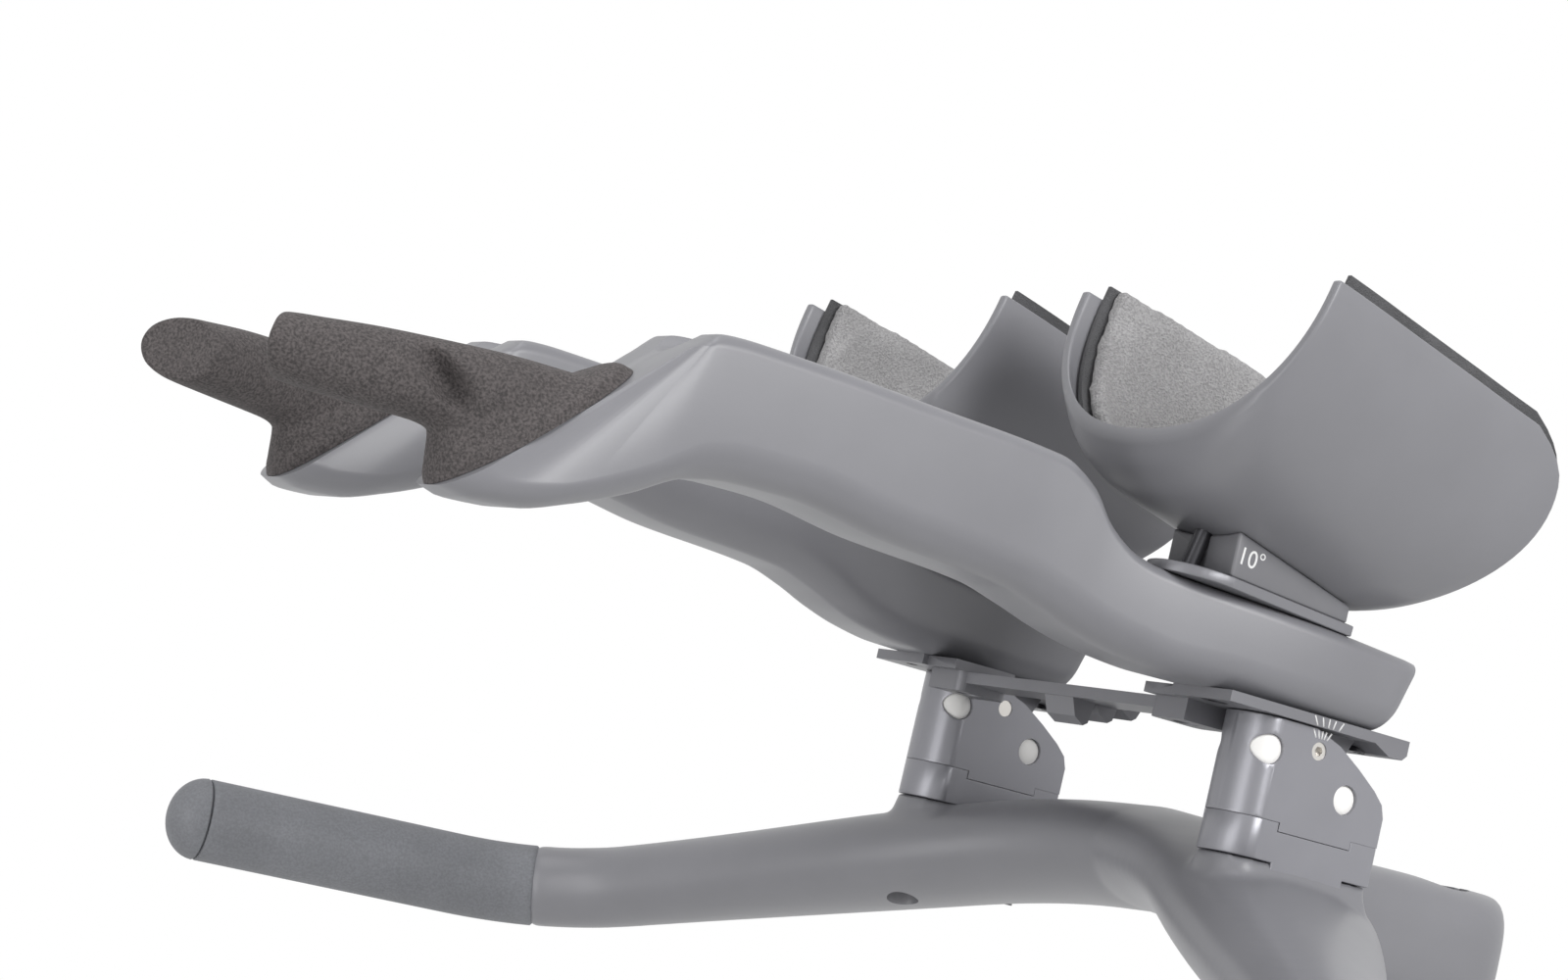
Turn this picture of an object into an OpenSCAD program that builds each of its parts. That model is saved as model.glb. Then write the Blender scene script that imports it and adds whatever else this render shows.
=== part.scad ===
// Time-trial handlebar: a swept bullhorn base bar with its stem, two risers with a tilt joint,
// and a pair of extensions with grips and arm cups.
// +X forward, +Y to the rider's left, +Z up, origin at the middle of the steerer clamp.
// The bar is drawn square to the steerer and then leaned back with it.

/* [Steerer clamp] */
// Angle that the steerer leans back from upright, degrees
steerer_lean = 15.5; // [10:0.5:20]
// Radius of the steerer bore
bore_r = 14.3; // [13:0.1:16]
// Height of the clamp along the steerer
clamp_h = 40; // [34:1:46]
// Width of the stem at the clamp
stem_w = 46; // [42:1:52]
// Width of the saw cut behind the bore
slit_w = 2.4; // [1.5:0.1:4]
// Radius of the clamp bolts' shanks
clamp_bolt_r = 2.5; // [2:0.1:3]

/* [Base bar] */
// Distance from the steerer to the middle of the wing
wing_reach = 94; // [84:1:104]
// Height of the wing's middle above the clamp's middle
wing_rise = 5.5; // [0:0.5:12]
// Half length of the level stretch in the middle of the wing
level_half = 46; // [36:1:56]
// Distance from the middle to each horn at its bend
horn_half = 206; // [190:1:230]
// How far forward of the steerer the bends lie
bend_reach = 188; // [170:1:205]
// How far the bends drop below the wing's middle
bend_drop = 53.5; // [35:0.5:65]
// How far each horn flares out from bend to tip
horn_flare = 19; // [0:1:30]
// Length of each horn from its bend to the plug
horn_len = 119; // [90:1:150]
// Chord of the wing in the middle
wing_chord = 64; // [54:1:70]
// Thickness of the wing in the middle
wing_t = 30; // [26:1:32]
// Outside diameter of the horns over their sleeves
horn_d = 26.2; // [24:0.2:30]
// Thickness of the horn sleeves
sleeve_t = 1.6; // [1:0.1:2.5]

/* [Risers] */
// Distance between the two risers
riser_gap = 150; // [140:1:170]
// Distance from the steerer to the riser's round nose centre
nose_reach = 137; // [132:1:142]
// How far the nose stands ahead of that centre
nose_round = 7.4; // [6:0.2:11]
// Length of the riser behind that centre
riser_tail = 41; // [38:1:44]
// Width of a riser
riser_w = 22; // [20:1:24]
// Height of the foot's top above the clamp's middle
foot_top = 8.5; // [6:0.5:13]
// Thickness of the spacer
spacer_h = 11.1; // [6:0.1:16]
// Height of the bracket's side cheeks
bracket_h = 27.3; // [25:0.1:30]
// Depth of the tongue that keys each layer to the next
key_h = 2.4; // [1.5:0.1:3]
// Radius of the two cross holes in the bracket
window_r = 4.1; // [3:0.1:4.2]
// Radius of the riser bolts' shanks
riser_bolt_r = 2.5; // [2:0.1:2.8]

/* [Tilt joint] */
// How far behind the nose centre the pivot lies
pivot_back = 14; // [12:0.5:16]
// Height of the pivot above the bracket's seat
pivot_h = 21.4; // [20.5:0.1:23]
// Radius of the pivot pin
pin_r = 2.5; // [2:0.1:3]
// Thickness of the tilt plate's tongue
tongue_t = 7.4; // [6:0.1:9]
// Thickness of the tilt plate
plate_t = 3; // [2.5:0.1:4]
// Width of the tilt plate
plate_w = 26; // [24:1:28]

/* [Extensions] */
// Distance from the steerer to the rear end of the extensions
ext_rear = 100; // [96:1:104]
// Distance from the steerer to the peak above the mouth
peak_reach = 326; // [310:1:345]
// How far the lip of the mouth lies ahead of the peak
mouth_run = 56; // [48:0.5:64]
// Half width of an extension at its rear
ext_half = 17; // [15:0.5:19]
// Depth of the rear deck at its rear end
deck_depth = 21; // [18:1:24]
// Slope of the deck that carries the cup, degrees
deck_slope = 4; // [0:0.5:6]
// How far the extensions step in ahead of the cups
step_in = 18; // [10:1:24]
// How far the grips lean in from the mouth to their tips
hand_in = 20; // [10:1:26]
// Length of each grip from the mouth's lip to its tip
grip_len = 47.5; // [42:0.5:60]
// Thickness of the grip's handle
grip_t = 21.5; // [18:0.5:24]
// Half width of the grip's handle
grip_half = 12; // [10:0.5:14]

/* [Arm cups] */
// Width of a cup across its edges
cup_w = 103; // [94:1:110]
// Thickness of a cup's shell
cup_t = 3; // [2:0.1:4]
// Depth of a cup from its edges to its keel
cup_depth = 59.5; // [50:0.5:64]
// Length of a cup along its edges
cup_len = 91; // [82:1:100]
// Angle of the wedge under a cup, degrees
wedge_angle = 10; // [5:0.5:12]
// Least height of the wedge
wedge_min = 3; // [2:0.5:6]
// Width of the wedge
wedge_w = 30; // [26:1:34]
// Thickness of the base plate under the wedge
base_t = 3; // [2:0.1:4]
// Thickness of an arm pad
pad_t = 8; // [5:0.5:10]

/* [Hidden] */
fit = 0.1;
seat = 0.3;
side = riser_gap / 2;
lip_reach = peak_reach + mouth_run;
grip_tip = lip_reach + grip_len;
pin_fit = 0.05;

// Vectors and blends
function unit(v) = v / norm(v);
function mix(a, b, t) = a * (1 - t) + b * t;
function clamp01(t) = min(1, max(0, t));
function ease(t) = let (c = clamp01(t)) c * c * (3 - 2 * c);
// Value at x of a smooth curve through a list of [x, value] pairs
function along(keys, x, i = 0) =
    x <= keys[0][0] ? keys[0][1] :
    i >= len(keys) - 1 ? keys[len(keys) - 1][1] :
    x <= keys[i + 1][0] ? mix(keys[i][1], keys[i + 1][1],
        ease((x - keys[i][0]) / (keys[i + 1][0] - keys[i][0]))) : along(keys, x, i + 1);

// Solid skin over a list of rings with equal counts of points, closed by flat ends
module skin(rings) {
    n = len(rings[0]);
    last = len(rings) - 1;
    walls = [for (j = [0 : last - 1]) for (i = [0 : n - 1]) let (k = (i + 1) % n)
        each [[j * n + i, (j + 1) * n + k, j * n + k], [j * n + i, (j + 1) * n + i, (j + 1) * n + k]]];
    start = [[for (i = [0 : n - 1]) i]];
    end = [[for (i = [n - 1 : -1 : 0]) last * n + i]];
    polyhedron(points = [for (r = rings) each r], faces = concat(walls, start, end), convexity = 6);
}
// Skin whose rings are strips: the first half of each ring is one face, the second the other
module strip_skin(rings) {
    n = len(rings[0]);
    h = n / 2;
    last = len(rings) - 1;
    walls = [for (j = [0 : last - 1]) for (i = [0 : n - 1]) let (k = (i + 1) % n)
        each [[j * n + i, j * n + k, (j + 1) * n + k], [j * n + i, (j + 1) * n + k, (j + 1) * n + i]]];
    start = [for (i = [0 : h - 2]) each [[i + 1, i, n - 1 - i], [i + 1, n - 1 - i, n - 2 - i]]];
    end = [for (i = [0 : h - 2]) each [[last * n + i, last * n + i + 1, last * n + n - 2 - i],
        [last * n + i, last * n + n - 2 - i, last * n + n - 1 - i]]];
    polyhedron(points = [for (r = rings) each r], faces = concat(walls, start, end), convexity = 6);
}

// The bar's own frame leans back with the steerer
module leaned() { rotate([0, -steerer_lean, 0]) children(); }
module both_sides() {
    children();
    mirror([0, 1, 0]) children();
}
module on_side(s) {
    if (s > 0) children();
    else mirror([0, 1, 0]) children();
}

// Base bar: one line from tip to tip, with its two corners rounded
horn_dir = unit([horn_len, horn_flare, 0]);
wing_mid = [wing_reach, 0, wing_rise];
wing_knee = wing_mid + [9, level_half, -3];
bend_pt = [bend_reach, horn_half, wing_rise - bend_drop];
tip_pt = bend_pt + horn_dir * horn_len;
knee_round = 30;
bend_round = 34;
function corner(a, b, c, r, t) = let (p = b + unit(a - b) * r, q = b + unit(c - b) * r)
    mix(mix(p, b, t), mix(b, q, t), t);
function heading(line, i) =
    unit(line[min(i + 1, len(line) - 1)] - line[max(i - 1, 0)]);
// The sleeves start in the bends, where the wing ends and its thinner core goes on
sleeve_line = concat([for (t = [0.55 : 0.15 : 1]) corner(wing_knee, bend_pt, tip_pt, bend_round, t)],
    [mix(bend_pt, tip_pt, 0.42), mix(bend_pt, tip_pt, 0.7), tip_pt]);
sleeve_dir = heading(sleeve_line, 0);
wing_end = sleeve_line[0] - sleeve_dir * seat;
core_line = concat([sleeve_line[0] - sleeve_dir * 8], sleeve_line);
half_line = concat(
    [wing_mid, mix(wing_mid, wing_knee, 0.2)],
    [for (t = [0 : 0.2 : 1]) corner(wing_mid, wing_knee, bend_pt, knee_round, t)],
    [for (t = [0.25 : 0.16 : 0.75]) mix(wing_knee, bend_pt, t)],
    [for (t = [0 : 0.115 : 0.46]) corner(wing_knee, bend_pt, tip_pt, bend_round, t)],
    [wing_end - sleeve_dir * 2, wing_end]);
function flip(p) = [p.x, -p.y, p.z];
bar_line = concat([for (i = [len(half_line) - 1 : -1 : 1]) flip(half_line[i])], half_line);
function bar_chord(p) =
    along([[level_half + 12, wing_chord], [horn_half - 14, horn_d + 3], [horn_half, horn_d]], abs(p.y));
function bar_thick(p) = along([[level_half, wing_t], [horn_half - 14, horn_d]], abs(p.y));
// Wing section: a rounded nose, a finer tail, round on the horns
function bar_ring(p, dir, chord, thick) =
    let (fore = unit(cross([0, 0, 1], dir)) * -1, lift = cross(fore, dir) * -1,
        fine = clamp01((chord - horn_d) / 30) * 0.22)
    [for (i = [0 : 23]) let (a = i * 15)
        p + fore * (chord / 2 * cos(a)) + lift * (thick / 2 * sin(a) * (1 + fine * cos(a)))];
module bar_skin(line, slim = 0) {
    skin([for (i = [0 : len(line) - 1]) let (p = line[i])
        bar_ring(p, heading(line, i), bar_chord(p) - slim, bar_thick(p) - slim)]);
}
// Stem: grows out of the wing's middle and ends round behind the clamp
stem_rear = 27;
stem_end = 25;
stem_round = 2.6;
stem_flare = 60;
stem_steps = [4, 14, 26, 38, 50, 60, 70, 80, wing_reach];
function stem_share(u) = ease((u - 12) / (wing_reach - 16));
function round_share(t) = pow(1 - pow(t, stem_round), 1 / stem_round);
function stem_width(u) = u < -2 ? stem_w * round_share(-(u + 2) / (stem_rear - 2))
    : stem_w + stem_flare * pow(clamp01((u - 26) / (wing_reach - 30)), 3);
function stem_height(u) = mix(clamp_h, wing_t - 4, stem_share(u));
function stem_lift(u) = mix(0, wing_rise, stem_share(u));
function soft_ring(u, w, h, lift) = [for (i = [0 : 27]) let (a = i * 360 / 28, c = cos(a), s = sin(a))
    [u, w / 2 * sign(c) * pow(abs(c), 0.62), lift + h / 2 * sign(s) * pow(abs(s), 0.62)]];
module stem_body() {
    steps = concat([for (t = [0 : 15 : 75]) -stem_end * cos(t)], stem_steps);
    skin([for (u = steps) soft_ring(u, stem_width(u), stem_height(u), stem_lift(u))]);
}

// Riser outline: a round nose and a square tail
tail_reach = nose_reach - riser_tail;
module riser_outline(grow = 0) {
    translate([nose_reach, side]) scale([nose_round + grow, riser_w / 2 + grow]) circle(r = 1, $fn = 64);
    translate([tail_reach - grow, side - riser_w / 2 - grow])
        square([riser_tail + grow, riser_w + 2 * grow]);
}
key_front = nose_reach - 6;
key_len = 25.5;
module key_block(z, clear = 0) {
    translate([key_front - key_len - clear, side - riser_w / 2 - 1, z - key_h - clear])
        cube([key_len + 2 * clear, riser_w + 2, key_h + clear + 1]);
}
module key_tongue(z) {
    intersection() {
        translate([0, 0, z - key_h]) linear_extrude(key_h + 1) riser_outline();
        key_block(z);
    }
}
bolt_front = nose_reach;
bolt_back = tail_reach + 6;
spacer_z = foot_top;
bracket_z = foot_top + spacer_h;
cheek_top = bracket_z + bracket_h;
bolt_end = bracket_z + 5;
head_z = -14;
riser_head_r = riser_bolt_r + 2;
below = 30;
module riser_bolt_holes() {
    for (u = [bolt_front, bolt_back]) translate([u, side, head_z - below])
        cylinder(r = riser_bolt_r + fit, h = bolt_end - head_z + below + fit, $fn = 48);
}
// Foot: a straight top and a flared base that sinks into the wing
foot_flare = 3;
foot_base = -5.5;
foot_toe_r = 6.5;
foot_toe = -14.5;
module foot() {
    hull() {
        translate([0, 0, foot_top - 5]) linear_extrude(5) riser_outline();
        translate([0, 0, foot_base]) linear_extrude(1) riser_outline(foot_flare);
        translate([nose_reach, side, foot_toe]) cylinder(r = foot_toe_r, h = 1, $fn = 48);
    }
}
horn_core = horn_d / 2 - sleeve_t - fit;
plug_bore_r = 8;
plug_depth = 24;
plug_stub = 20;
plug_dome = 11;
module at_tip() {
    translate(tip_pt) rotate([0, 90, atan2(horn_flare, horn_len)]) children();
}
module base_bar() {
    color([0.5, 0.5, 0.53]) leaned() difference() {
        union() {
            bar_skin(bar_line);
            stem_body();
            both_sides() {
                foot();
                round_skin(core_line, horn_core);
            }
        }
        cylinder(r = bore_r, h = clamp_h + 20, center = true, $fn = 96);
        translate([-stem_rear - 4, -slit_w / 2, -clamp_h]) cube([stem_rear, slit_w, 2 * clamp_h]);
        clamp_bolt_seats();
        both_sides() {
            key_block(foot_top, fit);
            // Level seat where the wing would reach above the foot
            translate([0, 0, foot_top]) linear_extrude(spacer_h) riser_outline(seat);
            riser_bolt_holes();
            for (u = [bolt_front, bolt_back]) translate([u, side, head_z - below])
                cylinder(r = riser_head_r + 4 * fit, h = below, $fn = 48);
            at_tip() translate([0, 0, -plug_depth]) cylinder(r = plug_bore_r, h = plug_depth + 5, $fn = 48);
        }
    }
}
// Round skin along a line, as for a horn's core or its sleeve
function round_ring(p, dir, r) = let (fore = unit(cross([0, 0, 1], dir)) * -1, lift = cross(fore, dir) * -1)
    [for (i = [0 : 23]) let (a = i * 15) p + fore * (r * cos(a)) + lift * (r * sin(a))];
module round_skin(line, r, extra = 0) {
    n = len(line) - 1;
    long = concat([for (i = [0 : n - 1]) line[i]], [line[n] + unit(line[n] - line[n - 1]) * extra]);
    skin([for (i = [0 : n]) round_ring(long[i], heading(long, i), r)]);
}
module bar_sleeve(s) {
    color([0.46, 0.46, 0.49]) leaned() on_side(s) difference() {
        round_skin(sleeve_line, horn_d / 2);
        round_skin(core_line, horn_core + fit, 4);
    }
}
// Domed end plug with a stub that goes into the horn
module bar_plug(s) {
    color([0.44, 0.44, 0.47]) leaned() on_side(s) at_tip() translate([0, 0, seat]) {
        rotate_extrude($fn = 72) intersection() {
            scale([horn_d / 2, plug_dome]) circle(r = 1, $fn = 72);
            square([horn_d, 2 * plug_dome]);
        }
        translate([0, 0, -plug_stub]) cylinder(r = plug_bore_r - fit, h = plug_stub, $fn = 48);
    }
}
// Two bolts close the slit, one above the other
clamp_bolt_u = -19;
clamp_bolt_w = 10;
clamp_head_r = 4.2;
clamp_head_h = 3.4;
clamp_seat = 8;
clamp_bolt_len = 21;
module clamp_bolt_seats() {
    for (w = [-clamp_bolt_w, clamp_bolt_w]) translate([clamp_bolt_u, -clamp_seat, w]) rotate([90, 0, 0]) {
        translate([0, 0, -clamp_bolt_len - 1])
            cylinder(r = clamp_bolt_r + fit, h = clamp_bolt_len + 2, $fn = 48);
        cylinder(r = clamp_head_r + fit, h = stem_w / 2, $fn = 48);
    }
}
socket_share = 0.6;
// Bolt with its head above z = 0 and a hexagon socket in it
module socket_bolt(r, length, head_r, head_h) {
    difference() {
        union() {
            translate([0, 0, -length]) cylinder(r = r, h = length, $fn = 48);
            cylinder(r = head_r, h = head_h, $fn = 48);
        }
        translate([0, 0, head_h * (1 - socket_share)]) cylinder(r = head_r * 0.55, h = head_h, $fn = 6);
    }
}
module clamp_bolts() {
    color([0.3, 0.3, 0.32]) leaned() for (w = [-clamp_bolt_w, clamp_bolt_w])
        translate([clamp_bolt_u, -clamp_seat - fit, w]) rotate([90, 0, 0])
            socket_bolt(clamp_bolt_r, clamp_bolt_len, clamp_head_r, clamp_head_h);
}

// Riser spacer: keyed to the foot below and to the bracket above
module riser_spacer(s) {
    color([0.52, 0.52, 0.55]) leaned() on_side(s) difference() {
        union() {
            translate([0, 0, spacer_z]) linear_extrude(spacer_h) riser_outline();
            key_tongue(spacer_z);
        }
        key_block(bracket_z, fit);
        riser_bolt_holes();
    }
}
// Bracket: a side profile cut out of the riser outline, with two cheeks at the pivot
pivot_u = nose_reach - pivot_back;
pivot_z = bracket_z + pivot_h;
window_front = [nose_reach + 2, bracket_z + 18.5];
window_back = [nose_reach - 26.5, bracket_z + 10.5];
slot_floor = bracket_z + 15.5;
slot_front = pivot_u + 8;
slot_t = tongue_t + 2 * seat;
module cheek_profile() {
    polygon([[nose_reach + 20, bracket_z - 5], [nose_reach + 20, cheek_top], [pivot_u + 2, cheek_top],
        [nose_reach - 21, cheek_top - 3], [nose_reach - 29, cheek_top - 7.6],
        [nose_reach - 36, cheek_top - 12.2], [nose_reach - 39.6, cheek_top - 15.4],
        [tail_reach, cheek_top - 19], [tail_reach, bracket_z - 5]]);
}
// Side profile made into a slab on the riser's middle plane, and a cross hole or pin in it
module slab(width) {
    translate([0, side + width / 2, 0]) rotate([90, 0, 0]) linear_extrude(width) children();
}
module across(at, r, length) {
    translate([at[0], side, at[1]]) rotate([90, 0, 0]) cylinder(r = r, h = length, center = true, $fn = 64);
}
module riser_bracket(s) {
    color([0.55, 0.55, 0.58]) leaned() on_side(s) difference() {
        union() {
            intersection() {
                translate([0, 0, bracket_z]) linear_extrude(bracket_h) riser_outline();
                slab(2 * riser_w) cheek_profile();
            }
            key_tongue(bracket_z);
        }
        translate([tail_reach - 5, side - slot_t / 2, slot_floor])
            cube([slot_front - tail_reach + 5, slot_t, bracket_h]);
        across(window_front, window_r, 2 * riser_w);
        across(window_back, window_r, 2 * riser_w);
        across([pivot_u, pivot_z], pin_r + 0.02, 2 * riser_w);
        riser_bolt_holes();
    }
}
module riser_bolts(s) {
    color([0.3, 0.3, 0.32]) leaned() on_side(s) for (u = [bolt_front, bolt_back])
        translate([u, side, head_z - seat]) rotate([180, 0, 0])
            socket_bolt(riser_bolt_r, bolt_end - head_z, riser_head_r, 3);
}
module pivot_pin(s) {
    color([0.75, 0.75, 0.77]) leaned() on_side(s) difference() {
        across([pivot_u, pivot_z], pin_r, riser_w - 0.6);
        translate([pivot_u, side + riser_w / 2 - 2.3, pivot_z]) rotate([-90, 0, 0])
            cylinder(r = pin_r * 0.55, h = 4, $fn = 6);
    }
}

// Tilt plate: a flat plate under the extension with a tongue between the bracket's cheeks
plate_z = cheek_top + 0.4;
plate_front = nose_reach + 21;
plate_rear = tail_reach - 2;
lug_drop = 2.6;
ext_floor = plate_z + plate_t;
flange_in = side - riser_w / 2 - 17;
plate_bolt_us = [plate_front - 5, plate_rear + 6];
tongue_r = pin_r + 3;
small_r = 2;
small_head_r = 3.6;
small_head_h = 1.5;
function plate_head_z(u) = plate_z + small_head_h - (u < nose_reach ? lug_drop : 0);
module tilt_plate_profile() {
    polygon([[plate_front, ext_floor], [plate_front, plate_z], [tail_reach + 10, plate_z],
        [tail_reach + 4.5, plate_z - lug_drop], [plate_rear + 1.5, plate_z - lug_drop],
        [plate_rear, plate_z - lug_drop + 1.5], [plate_rear, ext_floor]]);
}
module tongue_profile() {
    difference() {
        union() {
            translate([pivot_u, pivot_z]) circle(r = tongue_r, $fn = 64);
            polygon([[pivot_u + tongue_r, pivot_z], [pivot_u + tongue_r, plate_z + 1],
                [tail_reach + 9, plate_z + 1], [tail_reach + 12, pivot_z + 1],
                [pivot_u, pivot_z - tongue_r + 1]]);
        }
        translate([pivot_u, pivot_z]) circle(r = pin_r + pin_fit, $fn = 64);
    }
}
module tilt_plate(s) {
    color([0.45, 0.45, 0.48]) leaned() on_side(s) difference() {
        union() {
            slab(plate_w) tilt_plate_profile();
            slab(tongue_t) tongue_profile();
            translate([nose_reach - 3, flange_in, plate_z]) cube([22, side - flange_in, plate_t]);
        }
        for (u = plate_bolt_us) translate([u, side, plate_head_z(u)]) {
            cylinder(r = small_r + fit, h = 12, $fn = 48);
            translate([0, 0, -10]) cylinder(r = small_head_r + fit, h = 10 + fit, $fn = 48);
        }
        translate([bridge_bolt_u, bridge_bolt_y, plate_z - 1])
            cylinder(r = small_r + fit, h = plate_t + 2, $fn = 48);
    }
}
module plate_bolts(s) {
    color([0.3, 0.3, 0.32]) leaned() on_side(s) for (u = plate_bolt_us)
        translate([u, side, plate_head_z(u)]) rotate([180, 0, 0])
            socket_bolt(small_r, 9, small_head_r, small_head_h);
}

// Bridge: joins the two tilt plates, with stepped fins in the middle
bridge_bolt_u = nose_reach + 8;
bridge_bolt_y = flange_in + 7;
bridge_u = nose_reach - 2;
bridge_d = 18;
block_h = 6;
bar_t = 3.4;
block_out = side - riser_w / 2 - 0.5;
bridge_seat = 3.1;
fin_count = 3;
module bridge() {
    color([0.56, 0.56, 0.58]) leaned() difference() {
        union() {
            translate([bridge_u, -flange_in - 2, plate_z - bar_t])
                cube([bridge_d - 2, 2 * flange_in + 4, bar_t]);
            both_sides() bridge_block();
            for (i = [0 : fin_count - 1]) bridge_fin(i);
        }
        both_sides() translate([bridge_bolt_u, bridge_bolt_y, plate_z - 10]) {
            cylinder(r = small_r + fit, h = 12, $fn = 48);
            cylinder(r = small_head_r + fit, h = 10 - bridge_seat + fit, $fn = 48);
        }
    }
}
module bridge_block() {
    translate([0, 0, plate_z - block_h]) linear_extrude(block_h) hull() {
        for (u = [bridge_u + 3, bridge_u + bridge_d - 3])
            translate([u, flange_in + 3]) circle(r = 3, $fn = 32);
        translate([bridge_u, block_out - 3]) square([bridge_d, 3]);
    }
}
module bridge_fin(i) {
    fin_w = 14 - 2 * i;
    drop = 10.5 - 2.6 * i;
    front = bridge_u + bridge_d - 2 - 9 * i;
    translate([0, fin_w / 2, 0]) rotate([90, 0, 0]) linear_extrude(fin_w)
        polygon([[front, plate_z - 1], [front - 3, plate_z - drop + 2], [front - 6.5, plate_z - drop],
            [front - 8, plate_z - drop + 1], [front - 9.5, plate_z - 1]]);
}
module bridge_bolts() {
    color([0.3, 0.3, 0.32]) leaned() both_sides()
        translate([bridge_bolt_u, bridge_bolt_y, plate_z - bridge_seat]) rotate([180, 0, 0])
            socket_bolt(small_r, bridge_seat + plate_t - 2 * fit, small_head_r, small_head_h);
}

// Extension: rings from the rear end to the slanted mouth
deck_front = 190;
deck_z = ext_floor + deck_depth;
function deck_at(u) = deck_z + (u - ext_rear) * tan(deck_slope);
shoulder_z = cheek_top + 52;
mouth_z = cheek_top - 1.6;
belly_z = cheek_top + 21;
// Middle plane of an extension: it steps in ahead of the cup, and the grip leans in further
lane_keys = [[ext_rear + 20, side], [deck_front + 35, side - step_in],
    [lip_reach - 20, side - step_in - 3], [grip_tip, side - step_in - hand_in - 3]];
function lane(u) = along(lane_keys, u);
function toe_at(u) = atan((lane(u - 1) - lane(u + 1)) / 2);
// Top and bottom of each ring along the extension, and its half width
ext_keys = [
    [[ext_rear - 1, deck_at(ext_rear)], [ext_rear + 6, ext_floor], ext_half - 1],
    [[ext_rear + 3, deck_at(ext_rear + 3)], [ext_rear + 9, ext_floor], ext_half],
    [[ext_rear + 30, deck_at(ext_rear + 30)], [ext_rear + 32, ext_floor], ext_half],
    [[ext_rear + 50, deck_at(ext_rear + 50)], [ext_rear + 48, ext_floor], ext_half],
    [[deck_front - 10, deck_at(deck_front - 10)], [deck_front - 20, ext_floor], ext_half],
    [[deck_front, deck_at(deck_front) + 1.5], [deck_front - 4, ext_floor + 1.6], ext_half + 0.3],
    [[deck_front + 9, shoulder_z - 14], [deck_front + 8, ext_floor + 4.2], ext_half + 0.6],
    [[deck_front + 17, shoulder_z - 5], [deck_front + 20, ext_floor + 8], ext_half + 1],
    [[deck_front + 28, shoulder_z], [deck_front + 34, ext_floor + 11.4], ext_half + 1.3],
    [[peak_reach - 66, shoulder_z + 1.6], [peak_reach - 64, belly_z - 4], ext_half + 1.6],
    [[peak_reach - 30, shoulder_z + 2.8], [peak_reach - 34, belly_z - 0.6], ext_half + 1.9],
    [[peak_reach - 12, shoulder_z + 3], [peak_reach - 18, belly_z - 1], ext_half + 1.9],
    [[peak_reach - 4, shoulder_z + 2.6], [peak_reach - 4, belly_z - 3.6], ext_half + 1.9],
    [[peak_reach - 0.8, shoulder_z + 1.9], [peak_reach + 10, belly_z - 11], ext_half + 1.8],
    [[peak_reach - 0.2, shoulder_z + 1.5], [lip_reach - 31, mouth_z + 5], ext_half + 1.4],
    [[peak_reach + 0.2, shoulder_z + 1.1], [lip_reach - 17, mouth_z + 0.6], ext_half + 0.6],
    [[peak_reach + 1, shoulder_z + 0.4], [lip_reach - 6, mouth_z], ext_half - 1],
    [[peak_reach + 2, shoulder_z - 0.6], [lip_reach, mouth_z + 1.6], ext_half - 2.5]];
// Ring between a top and a bottom point: square shoulders above, round corners below
function corner_arc(cy, cz, r, from, steps = 4) =
    [for (i = [0 : steps]) let (a = from + i * 90 / steps) [cy + r * cos(a), cz + r * sin(a)]];
function box_outline(half, depth, top_r, low_r) = concat(
    corner_arc(half - top_r, depth - top_r, top_r, 0),
    corner_arc(-half + top_r, depth - top_r, top_r, 90),
    corner_arc(-half + low_r, low_r, low_r, 180),
    corner_arc(half - low_r, low_r, low_r, 270));
function ext_ring(key, shrink = 0) =
    let (top = key[0], low = key[1], d = norm(top - low), dir = (top - low) / d,
        low_r = min(10, d / 2.6), outline = box_outline(key[2] - shrink, d - 2 * shrink, 4, low_r))
    [for (p = outline) let (at = low + dir * (p.y + shrink)) [at.x, lane(at.x) + p.x, at.y]];
module extension(s) {
    color([0.5, 0.5, 0.53]) leaned() on_side(s) difference() {
        skin([for (key = ext_keys) ext_ring(key)]);
        mouth_scoop();
        mouth_socket();
        for (u = plate_bolt_us) translate([u, side, ext_floor - 1])
            cylinder(r = small_r + fit, h = 12, $fn = 48);
        cup_bolt_holes();
    }
}
// The mouth's plane, from the peak down to the lip
mouth_top = [peak_reach + 2, shoulder_z - 0.6];
mouth_low = [lip_reach, mouth_z + 1.6];
mouth_dir = (mouth_top - mouth_low) / norm(mouth_top - mouth_low);
mouth_out = [mouth_dir.y, -mouth_dir.x];
function mouth_point(t) = mix(mouth_low, mouth_top, t);
module at_mouth(t) {
    p = mouth_point(t);
    translate([p.x, lane(p.x), p.y]) rotate([0, 90 - atan2(mouth_out.y, mouth_out.x), -toe_at(p.x)]) children();
}
// A shallow hollow between the two rims of the mouth
scoop_r = 10.5;
scoop_dip = 14;
module mouth_scoop() {
    translate([peak_reach, lane(peak_reach), shoulder_z + 8]) rotate([0, 90 + scoop_dip, -toe_at(peak_reach)])
        cylinder(r = scoop_r, h = 70, center = true, $fn = 96);
}
socket_r = 8;
socket_d = 10;
socket_at = 0.42;
module mouth_socket() {
    at_mouth(socket_at) translate([0, 0, -socket_d]) cylinder(r = socket_r + fit, h = socket_d + 6, $fn = 64);
}

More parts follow.
